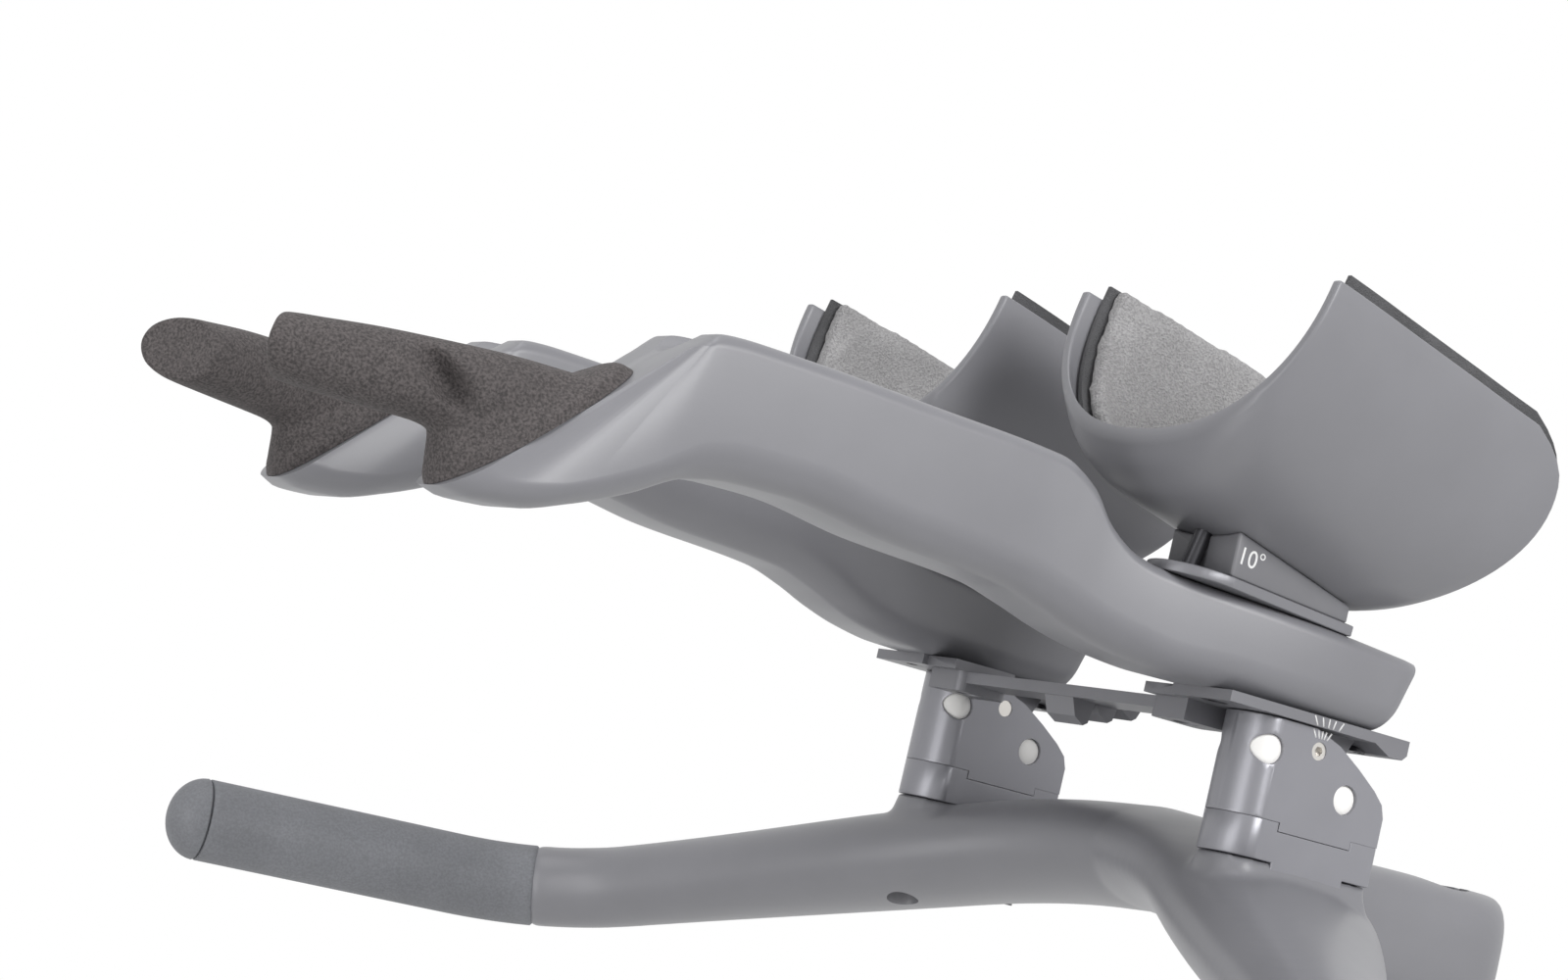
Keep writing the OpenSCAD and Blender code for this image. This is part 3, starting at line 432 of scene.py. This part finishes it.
def riser_outline(grow, w):
    """Round nose and square tail of a riser, as points at height w."""
    r = RISER_W / 2 + grow
    nose = [(NOSE + (NOSE_ROUND + grow) * cos(a), SIDE + r * sin(a), w) for a in np.linspace(-pi / 2, pi / 2, 33)]
    tail = TAIL - grow
    return np.array(nose + [(tail, SIDE + r, w), (tail, SIDE - r, w)])


def foot(side):
    levels = [(4.0, -11), (6.5, -7), (4.2, -3), (1.8, 2), (0.4, 5.5), (0, FOOT_TOP)]
    rings = []
    for grow, w in levels:
        ring = riser_outline(grow * 0.55, w)
        ring[:, 0] = np.minimum(ring[:, 0], NOSE + NOSE_ROUND + max(0, grow) * 0.3)
        rings.append(ring)
    return mesh_object("foot_part", *loft(rings), side)


def horn_core(side):
    start = horn_line[0] - headings(horn_line)[0] * 8
    line = np.vstack([start, horn_line])
    rings = [round_section(p, way, HORN_D / 2 - SLEEVE_T - 0.1) for p, way in zip(line, headings(line))]
    return mesh_object("core_part", *loft(rings), side)


def joined(first, others):
    work = bmesh.new()
    for piece in [first, *others]:
        work.from_mesh(piece.data)
    work.to_mesh(first.data)
    work.free()
    for piece in others:
        bpy.data.objects.remove(piece)
    return first


joined(bar, [stem, *[foot(s) for s in (LEFT, RIGHT)], *[horn_core(s) for s in (LEFT, RIGHT)]])
applied(bar, "REMESH", mode="VOXEL", voxel_size=1.35 * MM, use_smooth_shade=True)
applied(bar, "SMOOTH", factor=0.5, iterations=9)
print("one skin with", len(bar.data.polygons), "faces")


# %% Bore, slit and seats cut into the skin
def cylinder_between(a, b, radius, steps=64, name="cutter"):
    """A closed round bar between two points of the bar frame."""
    a, b = np.asarray(a, float), np.asarray(b, float)
    way = unit(b - a)
    across = unit(np.cross(way, (0, 0, 1) if abs(way[2]) < 0.9 else (1, 0, 0)))
    over = np.cross(way, across)
    angles = np.linspace(0, 2 * pi, steps, endpoint=False)
    ring = radius * (np.outer(np.cos(angles), across) + np.outer(np.sin(angles), over))
    return mesh_object(name, *loft([a + ring, b + ring]))


def block(low, high, name="cutter"):
    (x0, y0, z0), (x1, y1, z1) = low, high
    return mesh_object(name, *loft([[(x0, y0, z), (x1, y0, z), (x1, y1, z), (x0, y1, z)] for z in (z0, z1)]))


def flat_cutter(side):
    """What lies above a foot: it leaves the level seat for the spacer."""
    return mesh_object("cutter", *loft([riser_outline(0.3, w) for w in (FOOT_TOP, FOOT_TOP + 14)]), side)


carve(bar, cylinder_between((0, 0, -40), (0, 0, 40), 14.3, 96))
carve(bar, block((-35, -1.2, -40), (-6, 1.2, 40)))
for w in (-10, 10):
    carve(bar, cylinder_between((-19, -8, w), (-19, -40, w), 4.3))
for s in (LEFT, RIGHT):
    carve(bar, flat_cutter(s))
    for u in (NOSE, TAIL + 6):
        carve(bar, cylinder_between((u, s * SIDE, -14), (u, s * SIDE, -40), 4.9))
done(bar, "base", "satin_paint", ["base_bar"], sharp=42)

# %% [markdown]
# Dull sleeves cover the horns, and a domed plug closes each. They are turned shapes on a bent line, so
# each is a loft of round sections. A hair's gap is left at the seam, which shows as a fine dark line.

# %% Sleeves and plugs
DOME = 11.0
for s in (LEFT, RIGHT):
    ways = headings(horn_line)
    outer = [round_section(p, way, HORN_D / 2) for p, way in zip(horn_line, ways)]
    first = round_section(horn_line[0] + ways[0] * 0.7, ways[0], HORN_D / 2)
    lip = round_section(horn_line[0], ways[0], HORN_D / 2 - 0.7)
    sleeve = mesh_object("horn_sleeve_" + NAMES[s], *loft([lip, first, *outer[1:-1],
                         round_section(TIP - HORN_WAY * 0.5, HORN_WAY, HORN_D / 2),
                         round_section(TIP, HORN_WAY, HORN_D / 2 - 0.5)]), s)
    done(sleeve, "base", "dull_sleeve", ["bar_sleeve_" + NAMES[s]], sharp=50)
    bulge = [round_section(TIP + HORN_WAY * (0.3 + DOME * sin(a)), HORN_WAY, max(0.4, HORN_D / 2 * cos(a)))
             for a in np.linspace(0, pi / 2, 22)]
    rim = round_section(TIP + HORN_WAY * 0.3, HORN_WAY, HORN_D / 2 - 0.5)
    bulge[0] = round_section(TIP + HORN_WAY * 0.8, HORN_WAY, HORN_D / 2 * cos(0.03))
    plug = mesh_object("end_plug_" + NAMES[s], *loft([rim, *bulge]), s)
    done(plug, "base", "dull_sleeve", ["bar_plug_" + NAMES[s]], sharp=50)

# %% [markdown]
# An extension is a closed carbon box with soft corners. It carries the cup on a flat deck, rises over a
# shoulder, and ends in a slanted mouth that takes the grip. Its top and bottom lines are keyed and every
# section hangs between them, so the side view follows the photograph exactly.

# %% Key sections of an extension
BRACKET_Z = 19.6
CHEEK_TOP = BRACKET_Z + 27.3
PLATE_Z = CHEEK_TOP + 0.4
EXT_FLOOR = PLATE_Z + 3
DECK_Z = EXT_FLOOR + 21
DECK_SLOPE, WEDGE_ANGLE = radians(4), radians(10)
DECK_FRONT = 190.0
SHOULDER, MOUTH, BELLY = CHEEK_TOP + 52, CHEEK_TOP - 1.6, CHEEK_TOP + 21
PEAK, LIP, HALF = 326.0, 382.0, 17.0
GRIP_TIP = LIP + 47.5


def deck_at(u):
    return DECK_Z + (u - 100) * tan(DECK_SLOPE)


LANE_KEYS = [(120, SIDE), (DECK_FRONT + 35, SIDE - 18), (LIP - 20, SIDE - 21), (GRIP_TIP, SIDE - 41)]


def lane(u):
    """Middle plane of an extension: it steps in ahead of the cup, and the grip leans in further."""
    return between(LANE_KEYS, u)


def lanes(us):
    return np.array([lane(u) for u in us])


def toe_at(u):
    return atan((lane(u - 1) - lane(u + 1)) / 2)


# Top point (u, w), bottom point (u, w) and half width of each key section
EXT_KEYS = [
    (99, deck_at(99), 106, EXT_FLOOR, HALF - 1),
    (103, deck_at(103), 109, EXT_FLOOR, HALF),
    (150, deck_at(150), 148, EXT_FLOOR, HALF),
    (180, deck_at(180), 170, EXT_FLOOR, HALF),
    (190, deck_at(190) + 1.5, 186, EXT_FLOOR + 1.6, HALF + 0.3),
    (199, SHOULDER - 14, 198, EXT_FLOOR + 4.2, HALF + 0.6),
    (207, SHOULDER - 5, 210, EXT_FLOOR + 8, HALF + 1),
    (218, SHOULDER, 224, EXT_FLOOR + 11.4, HALF + 1.3),
    (260, SHOULDER + 1.6, 262, BELLY - 4, HALF + 1.6),
    (296, SHOULDER + 2.8, 292, BELLY - 0.6, HALF + 1.9),
    (PEAK - 12, SHOULDER + 3, 308, BELLY - 1, HALF + 1.9),
    (PEAK - 4, SHOULDER + 2.6, 322, BELLY - 3.6, HALF + 1.9),
    (PEAK - 0.8, SHOULDER + 1.9, 336, BELLY - 11, HALF + 1.8),
    (PEAK - 0.2, SHOULDER + 1.5, LIP - 31, MOUTH + 5, HALF + 1.4),
    (PEAK + 0.2, SHOULDER + 1.1, LIP - 17, MOUTH + 0.6, HALF + 0.6),
    (PEAK + 1, SHOULDER + 0.4, LIP - 6, MOUTH, HALF - 1),
    (PEAK + 2, SHOULDER - 0.6, LIP, MOUTH + 1.6, HALF - 2.5)]


def corner(cy, cz, r, start):
    return [(cy + r * cos(a), cz + r * sin(a)) for a in np.linspace(start, start + pi / 2, 10)]


def box_section(key):
    """Small round corners on top and large ones below, between the two points of a key."""
    top, low, half = np.array(key[0:2]), np.array(key[2:4]), key[4]
    depth = np.linalg.norm(top - low)
    way = (top - low) / depth
    big, small = min(10, depth / 2.6), 4
    outline = (corner(half - small, depth - small, small, 0) + corner(small - half, depth - small, small, pi / 2)
               + corner(big - half, big, big, pi) + corner(half - big, big, big, 1.5 * pi))
    points = []
    for y, up in outline:
        u, w = low + way * up
        points.append((u, lane(u) + y, w))
    return points


def extension(side):
    piece = mesh_object("extension_shell_" + NAMES[side], *loft([box_section(k) for k in smooth_through(EXT_KEYS, 150)]), side)
    dip, reach = radians(14), 35
    centre = np.array([PEAK, lane(PEAK), SHOULDER + 8])
    toe = toe_at(PEAK)
    way = np.array([cos(dip) * cos(toe), -cos(dip) * sin(toe), -sin(dip)])
    hollow = cylinder_between((centre - way * reach) * (1, side, 1), (centre + way * reach) * (1, side, 1), 10.5, 96)
    carve(piece, hollow)
    applied(piece, "BEVEL", width=0.7 * MM, segments=3, limit_method="ANGLE", angle_limit=radians(38))
    return done(piece, "extensions", "satin_paint", ["extension_" + NAMES[side]], sharp=35)


for s in (LEFT, RIGHT):
    extension(s)

# %% [markdown]
# A grip is moulded rubber: a collar that laps onto the mouth, a neck, and a level handle with a dent for
# the thumb. Its tip is cut aslant on the inner side. The dent could be cut out with a Boolean, but rubber
# has no sharp edge there, so the skin's own points are pushed in, most in the middle of the dent.

# %% Grips
MOUTH_LOW = np.array([LIP, MOUTH + 1.6])
MOUTH_TOP = np.array([PEAK + 2, SHOULDER - 0.6])
MOUTH_WAY = unit(MOUTH_TOP - MOUTH_LOW)
MOUTH_OUT = np.array([MOUTH_WAY[1], -MOUTH_WAY[0]])
GRIP_TOP = PLATE_Z + 35.4
GRIP_T, GRIP_HALF, TIP_CUT = 21.5, 12.0, radians(35)
collar_low = MOUTH_LOW + MOUTH_OUT * 0.15
collar_top = MOUTH_LOW + (MOUTH_TOP - MOUTH_LOW) * 0.8 + MOUTH_OUT * 0.15
GRIP_KEYS = [
    (*collar_top, *collar_low, HALF - 3),
    (*(collar_top + (3.4, 0.6)), *(collar_low + (0.8, 2.2)), HALF - 3.2),
    (*(collar_top + (8, -1.6)), *(collar_low + (1.2, 5)), GRIP_HALF + 0.4),
    (PEAK + 28, GRIP_TOP + 0.2, LIP + 2.5, GRIP_TOP - GRIP_T - 1.4, GRIP_HALF - 0.8),
    (PEAK + 44, GRIP_TOP, LIP + 7, GRIP_TOP - GRIP_T, GRIP_HALF - 0.6),
    (LIP, GRIP_TOP - 0.4, LIP + 13, GRIP_TOP - GRIP_T + 0.3, GRIP_HALF - 0.2),
    (LIP + 18, GRIP_TOP - 1.2, LIP + 22, GRIP_TOP - GRIP_T + 0.6, GRIP_HALF),
    (GRIP_TIP - 15, GRIP_TOP - 2.6, GRIP_TIP - 16, GRIP_TOP - GRIP_T + 1, GRIP_HALF),
    (GRIP_TIP - 7, GRIP_TOP - 3.6, GRIP_TIP - 8.5, GRIP_TOP - GRIP_T + 1.6, GRIP_HALF - 0.3),
    (GRIP_TIP - 2, GRIP_TOP - 5.6, GRIP_TIP - 3, GRIP_TOP - GRIP_T + 3.4, GRIP_HALF - 1.2),
    (GRIP_TIP, GRIP_TOP - 8.4, GRIP_TIP - 0.4, GRIP_TOP - GRIP_T + 6.4, GRIP_HALF - 3.4)]


def grip_section(key):
    top, low, half = np.array(key[0:2]), np.array(key[2:4]), key[4]
    depth = np.linalg.norm(top - low)
    way = (top - low) / depth
    c, s = np.cos(turns), np.sin(turns)
    y = half * np.sign(c) * abs(c) ** 0.86
    up = depth / 2 * (1 + np.sign(s) * abs(s) ** 0.86)
    u, w = low[0] + way[0] * up, low[1] + way[1] * up
    return np.stack([u, lanes(u) + y, w], axis=1)


def dented(points, centre, long_way, deep_way, length, width, depth):
    """Pushes the points near the centre in, over a long oval."""
    offset = points - centre
    cross_way = np.cross(deep_way, long_way)
    far = np.hypot(offset @ long_way / length, offset @ cross_way / width)
    facing = offset @ deep_way > -6
    push = depth * np.clip(1 - far**2, 0, 1) ** 1.3 * facing
    return points - np.outer(push, deep_way)


def planed(points, at, out_way, soft=1.0):
    """Flattens what lies beyond a plane, with a soft edge."""
    height = (points - at) @ out_way
    over = soft * np.logaddexp(0, height / soft)
    return points - np.outer(over, out_way)


def grip(side):
    points, faces = loft([grip_section(k) for k in smooth_through(GRIP_KEYS, 110)])
    thumb_u = LIP + 2
    turn_in = toe_at(thumb_u)
    toe = np.array([cos(turn_in), -sin(turn_in), 0])
    outward = np.array([sin(turn_in), cos(turn_in), 0])
    slope = radians(-38)
    thumb = np.array([thumb_u, lane(thumb_u), GRIP_TOP - 11]) + outward * GRIP_HALF
    points = dented(points, thumb, toe * cos(slope) - np.array([0, 0, sin(slope)]), outward, 11.0, 5.0, 6.5)
    cut_at = np.array([GRIP_TIP - 1, lane(GRIP_TIP) + GRIP_HALF - 3, GRIP_TOP])
    points = planed(points, cut_at, np.array([cos(TIP_CUT), -sin(TIP_CUT), 0]), 0.6)
    piece = mesh_object("grip_skin_" + NAMES[side], points, faces, side)
    return done(piece, "extensions", "grip_rubber", ["grip_" + NAMES[side]], sharp=60)


for s in (LEFT, RIGHT):
    grip(s)

# %% [markdown]
# A cup is a thin moulded trough. Its sections run from the front rim to the rear, each from one edge
# down round the keel and up to the other edge. Outer and inner faces use the same rule with a different
# inset, so the wall is even, and a small bevel rounds the rim.

# %% Shape of the cups
BASE_REAR, BASE_FRONT, BASE_T = 124.0, 182.0, 3.0
WEDGE_REAR, WEDGE_FRONT = BASE_REAR + 2, BASE_FRONT - 2
KEEL_SLOPE = DECK_SLOPE + WEDGE_ANGLE
BASE_TOP = deck_at(WEDGE_REAR) + BASE_T / cos(DECK_SLOPE)
KEEL_FOOT = np.array([WEDGE_REAR - 2, BASE_TOP + 3])
CUP_LEN, CUP_W, CUP_T, CUP_DEPTH = 91.0, 103.0, 3.0, 59.5
EDGE_SLOPE = KEEL_SLOPE - radians(3.2)
EDGE_WAY = np.array([cos(EDGE_SLOPE), sin(EDGE_SLOPE)])
EDGE_REAR = KEEL_FOOT + (-27, CUP_DEPTH - 1.5)
CUP_POWER = 2.3


def keel_at(u):
    return KEEL_FOOT[1] + (u - KEEL_FOOT[0]) * tan(KEEL_SLOPE)


def cup_key(u, lift, share):
    return (u, keel_at(u) + lift, *(EDGE_REAR + EDGE_WAY * CUP_LEN * share))


KEEL_REAR, KEEL_FRONT = KEEL_FOOT[0] - 9, WEDGE_FRONT + 17
CUP_KEYS = [cup_key(KEEL_FRONT, 12, 1), cup_key(KEEL_FRONT - 2.5, 5, 0.945), cup_key(KEEL_FRONT - 8, 1, 0.87),
            cup_key(KEEL_FRONT - 15, 0, 0.79), cup_key(WEDGE_REAR + 44, 0, 0.68),
            cup_key(WEDGE_REAR + 30, 0, 0.52), cup_key(WEDGE_REAR + 16, 0, 0.35),
            cup_key(WEDGE_REAR + 2, 0.4, 0.2), cup_key(WEDGE_REAR - 5, 2.2, 0.11), cup_key(KEEL_REAR, 5, 0.03)]
REAR_BOW, CORNER_CUT, FRONT_FLARE = 12.0, 7.0, 4.5


def trough(key, share, inset):
    """Points across a cup at the shares -1 to 1 of its half width, inset from its outer face."""
    keel, edge = np.array(key[0:2]), np.array(key[2:4])
    depth = np.linalg.norm(edge - keel)
    way = (edge - keel) / depth
    height = 1 - np.maximum(0, 1 - abs(share) ** CUP_POWER) ** (1 / CUP_POWER)
    up = inset + (depth - inset) * height
    rear = np.clip((KEEL_FRONT - keel[0]) / (KEEL_FRONT - KEEL_REAR), 0, 1) ** 2
    bow = rear * (REAR_BOW * 4 * height * (1 - height) - CORNER_CUT * (4 * np.maximum(0, height - 0.75)) ** 2)
    half = CUP_W / 2 - inset + FRONT_FLARE * (1 - np.sqrt(rear)) ** 1.5
    return np.stack([keel[0] + way[0] * up - bow, SIDE + share * half, keel[1] + way[1] * up], axis=1)


def shell(keys, outer, inner, across=64):
    """Closed points and faces of a bent plate between two insets."""
    share = np.sin(np.linspace(-pi / 2, pi / 2, across + 1))
    rings = np.array([np.vstack([trough(k, share, outer), trough(k, share[::-1], inner)]) for k in keys])
    count, n = rings.shape[:2]
    half = n // 2
    faces = [(j * n + i, j * n + (i + 1) % n, (j + 1) * n + (i + 1) % n, (j + 1) * n + i)
             for j in range(count - 1) for i in range(n)]
    for j in (0, count - 1):
        faces += [(j * n + i, j * n + i + 1, j * n + n - 2 - i, j * n + n - 1 - i) for i in range(half - 1)]
    return rings.reshape(-1, 3), faces


for s in (LEFT, RIGHT):
    cup = mesh_object("cup_shell_" + NAMES[s], *shell(smooth_through(CUP_KEYS, 48), 0, CUP_T), s)
    applied(cup, "BEVEL", width=1.1 * MM, segments=3, limit_method="ANGLE", angle_limit=radians(50))
    done(cup, "extensions", "satin_paint", ["arm_cup_" + NAMES[s]], sharp=50)

# %% [markdown]
# A moulded wedge sets each cup's angle. Its top has to follow the cup's keel, so it is a loft whose upper
# edge is worked out from the same rule as the cup. A bevel softens its upright edges.

# %% Wedges under the cups
WEDGE_NOSE, WEDGE_HALF = 168.0, 14.6
for s in (LEFT, RIGHT):
    rings = []
    for u in np.linspace(WEDGE_REAR, WEDGE_NOSE, 15):
        ys = np.linspace(WEDGE_HALF, -WEDGE_HALF, 17)
        lifts = CUP_DEPTH * (1 - (1 - np.abs(ys / (CUP_W / 2)) ** CUP_POWER) ** (1 / CUP_POWER))
        floor_w = deck_at(u) + BASE_T / cos(DECK_SLOPE)
        rings.append([(u, SIDE + y, keel_at(u) + lift - 0.1) for y, lift in zip(ys, lifts)]
                     + [(u, SIDE - WEDGE_HALF, floor_w), (u, SIDE + WEDGE_HALF, floor_w)])
    wedge = mesh_object("cup_wedge_block_" + NAMES[s], *loft(rings), s)
    applied(wedge, "BEVEL", width=0.8 * MM, segments=3, limit_method="ANGLE", angle_limit=radians(50))
    done(wedge, "extensions", "moulded_plastic", ["cup_wedge_" + NAMES[s]], sharp=40)

# %% [markdown]
# The pads are foam under a knitted cover, stuck in the cups with hook-and-loop. A stiff copy of the cup's
# curve would look like a block, so the pad's skin is blown up a little by a cloth simulation, which rounds
# its edges and pulls its faces the way a filled cover does. Loops of yarn come from the finish.

# %% Pads with their backing
PAD_T, PAD_RISE, SEAT = 8.0, 4.0, 0.3
BACKING_T = 1.3
above = np.array([-sin(KEEL_SLOPE), cos(KEEL_SLOPE)])
PAD_KEYS = [(*k[:2], *(np.array(k[2:4]) + above * PAD_RISE)) for k in CUP_KEYS[1:]]


def puffed(piece, voxel, cap, frames=20, pressure=4.0):
    """Blows a closed skin up a little, as filling does under a cover."""
    applied(piece, "REMESH", mode="VOXEL", voxel_size=voxel, use_smooth_shade=True)
    rest = np.array([v.co for v in piece.data.vertices])
    cloth = piece.modifiers.new("cloth", "CLOTH")
    cloth.settings.use_pressure = True
    cloth.settings.uniform_pressure_force = pressure
    cloth.settings.effector_weights.gravity = 0
    cloth.settings.tension_stiffness = 30
    for number in range(1, frames + 1):
        bpy.context.scene.frame_set(number)
    evaluated = piece.evaluated_get(bpy.context.evaluated_depsgraph_get())
    moved = np.array([v.co for v in evaluated.data.vertices]) - rest
    piece.modifiers.clear()
    bpy.context.scene.frame_set(1)
    far = np.linalg.norm(moved, axis=1, keepdims=True)
    moved *= np.minimum(1, cap / np.maximum(far, 1e-9))
    piece.data.vertices.foreach_set("co", (rest + moved).ravel())
    piece.data.update()
    return piece


def pad(side):
    keys = smooth_through(PAD_KEYS, 40)
    low, high = CUP_T + SEAT + BACKING_T + 0.8, CUP_T + SEAT + PAD_T - 0.8
    piece = mesh_object("pad_cover_" + NAMES[side], *shell(keys[1:-1], low, high, 48), side)
    puffed(piece, 1.8 * MM, 0.9 * MM)
    applied(piece, "SUBSURF", levels=1)
    done(piece, "extensions", "knit_fabric", ["arm_pad_" + NAMES[side]])
    backing = mesh_object("pad_backing_" + NAMES[side], *shell(keys, CUP_T + SEAT, CUP_T + SEAT + BACKING_T, 80), side)
    return done(backing, "extensions", "hook_backing", sharp=50)


for s in (LEFT, RIGHT):
    pad(s)

# %% [markdown]
# The machined pieces keep their CAD shape. A real edge is never a perfect knife: a hair-fine bevel catches
# a line of light. The CAD mesh arrives with split edges, so they are welded first or the bevel finds none.

# %% Machined pieces keep their CAD shape
LOOKS = {"riser_spacer": "anodised_alloy", "riser_bracket": "anodised_alloy", "tilt_plate": "plate_alloy",
         "bridge": "plate_alloy", "cup_base": "plate_alloy",
         "riser_bolts": "black_steel", "plate_bolts": "black_steel", "cup_bolts": "black_steel",
         "clamp_bolts": "black_steel", "bridge_bolts": "black_steel", "pivot_pin": "bright_steel"}
BEVEL_WIDTH = 0.35 * MM
for name, node in nodes.items():
    kind = name.replace("_left", "").replace("_right", "")
    if kind not in LOOKS:
        continue
    node.data.materials.clear()
    node.data.materials.append(FINISHES[LOOKS[kind]])
    weld = node.modifiers.new("weld", "WELD")
    weld.merge_threshold = 0.01 * MM
    bevel = node.modifiers.new("bevel", "BEVEL")
    bevel.width, bevel.segments = BEVEL_WIDTH, 2
    bevel.limit_method, bevel.angle_limit = "ANGLE", radians(40)
    bevel.harden_normals = True
print("CAD nodes with a bevel:", sum(1 for n in nodes.values() if n.modifiers))

# %% [markdown]
# The two cross holes of each bracket read white in the photograph. They could be left as dark tunnels, but
# then they would look drilled and empty, so each end of a hole gets a pale domed cap, set in a little.
# The caps are painted light: their pale colour stands in for the backdrop seen through a hole and the
# highlight on its wall.

# %% Pale caps in the bracket's cross holes, painted light where the holes show white
HOLES = {"front": (139.0, BRACKET_Z + 18.5), "back": (110.5, BRACKET_Z + 10.5)}


def riser_half(u):
    """Half width of the riser at u: even behind the nose's centre, elliptical ahead of it."""
    return RISER_W / 2 * np.sqrt(max(0, 1 - (max(0, u - NOSE) / NOSE_ROUND) ** 2))


for s in (LEFT, RIGHT):
    for index, (u, w) in HOLES.items():
        for end, way in (("outer", 1), ("inner", -1)):
            dome = [(4.05, -4.6), (4.05, -1.2), (3.6, -0.9), (2.2, -0.6), (0.6, -0.5)]
            rings = [[(u + r * cos(a), SIDE + way * (riser_half(u + r * cos(a)) + y), w + r * sin(a))
                      for a in turns[::2]] for r, y in dome]
            # Each cap's pale colour is painted light in the hole, not a part of the bar.
            cap = mesh_object(f"hole_cap_{end}_{index}_{NAMES[s]}", *loft(rings), s)
            done(cap, "base", "pale_nylon", sharp=50)

# %% [markdown]
# The tilt scale is five printed strokes that fan out from the pivot, on the bracket and on the plate above
# it, and the wedge carries its angle. An image could show them too. Strokes of real thickness stay crisp
# in every view, and the letters come from the font that every Blender has.

# %% Printed marks
PIVOT = np.array([123.0, 41.0])
FAN = [radians(a) for a in (118, 102, 88, 73, 58)]
PLATE_HALF, INK_T = 13.0, 0.08


def stroke(side, points, face, width=0.42):
    """A flat printed line between two points (u, w) on a face at this y, as points and faces."""
    a, b = np.asarray(points, float)
    across = unit(np.array([-(b - a)[1], (b - a)[0]])) * width / 2
    corners = [a - across, b - across, b + across, a + across]
    rings = [[(u, face + t, w) for u, w in corners] for t in (-INK_T, INK_T)]
    return mesh_object("stroke", *loft(rings), side)


def fan(side, name, body, face, low, high):
    """The strokes between two heights above the pivot, joined to one printed mark."""
    lines = []
    for angle in FAN:
        way = np.array([cos(angle), sin(angle)]) / sin(angle)
        lines.append(stroke(side, (PIVOT + way * low, PIVOT + way * high), face))
    mark = joined(lines[0], lines[1:])
    mark.name = name + NAMES[side]
    return done(mark, body, "white_ink")


def printed(side, text, at, size, slope, name):
    """Raised ink letters on the outer face of a piece, to be read from outside."""
    curve = bpy.data.curves.new(name, "FONT")
    curve.body, curve.size, curve.extrude = text, size * MM, INK_T * MM
    curve.align_x, curve.align_y = "CENTER", "CENTER"
    letters = bpy.data.objects.new(name, curve)
    bpy.context.scene.collection.objects.link(letters)
    evaluated = letters.evaluated_get(bpy.context.evaluated_depsgraph_get())
    data = bpy.data.meshes.new_from_object(evaluated)
    bpy.data.objects.remove(letters)
    u, y, w = at
    turn = slope + STEERER_LEAN
    across = Vector((-side * cos(turn), 0, -side * sin(turn)))
    upright = Vector((-sin(turn), 0, cos(turn)))
    place = Matrix((across, upright, Vector((0, side, 0)))).transposed().to_4x4()
    place.translation = Vector(to_row([(u, y * side, w)])[0])
    data.transform(place)
    piece = bpy.data.objects.new(name + NAMES[side], data)
    bpy.context.scene.collection.objects.link(piece)
    return done(piece, "extensions", "white_ink")


for s in (LEFT, RIGHT):
    fan(s, "tilt_scale_", "base", SIDE + RISER_W / 2, 3.4, 5.6)
    fan(s, "tilt_pointer_", "extensions", SIDE + PLATE_HALF, 6.6, 9.0)
    printed(s, "10\u00b0", (WEDGE_NOSE - 5.5, SIDE + WEDGE_HALF, keel_at(WEDGE_NOSE - 5.5) - 4), 6.8, DECK_SLOPE, "wedge_angle_mark_")
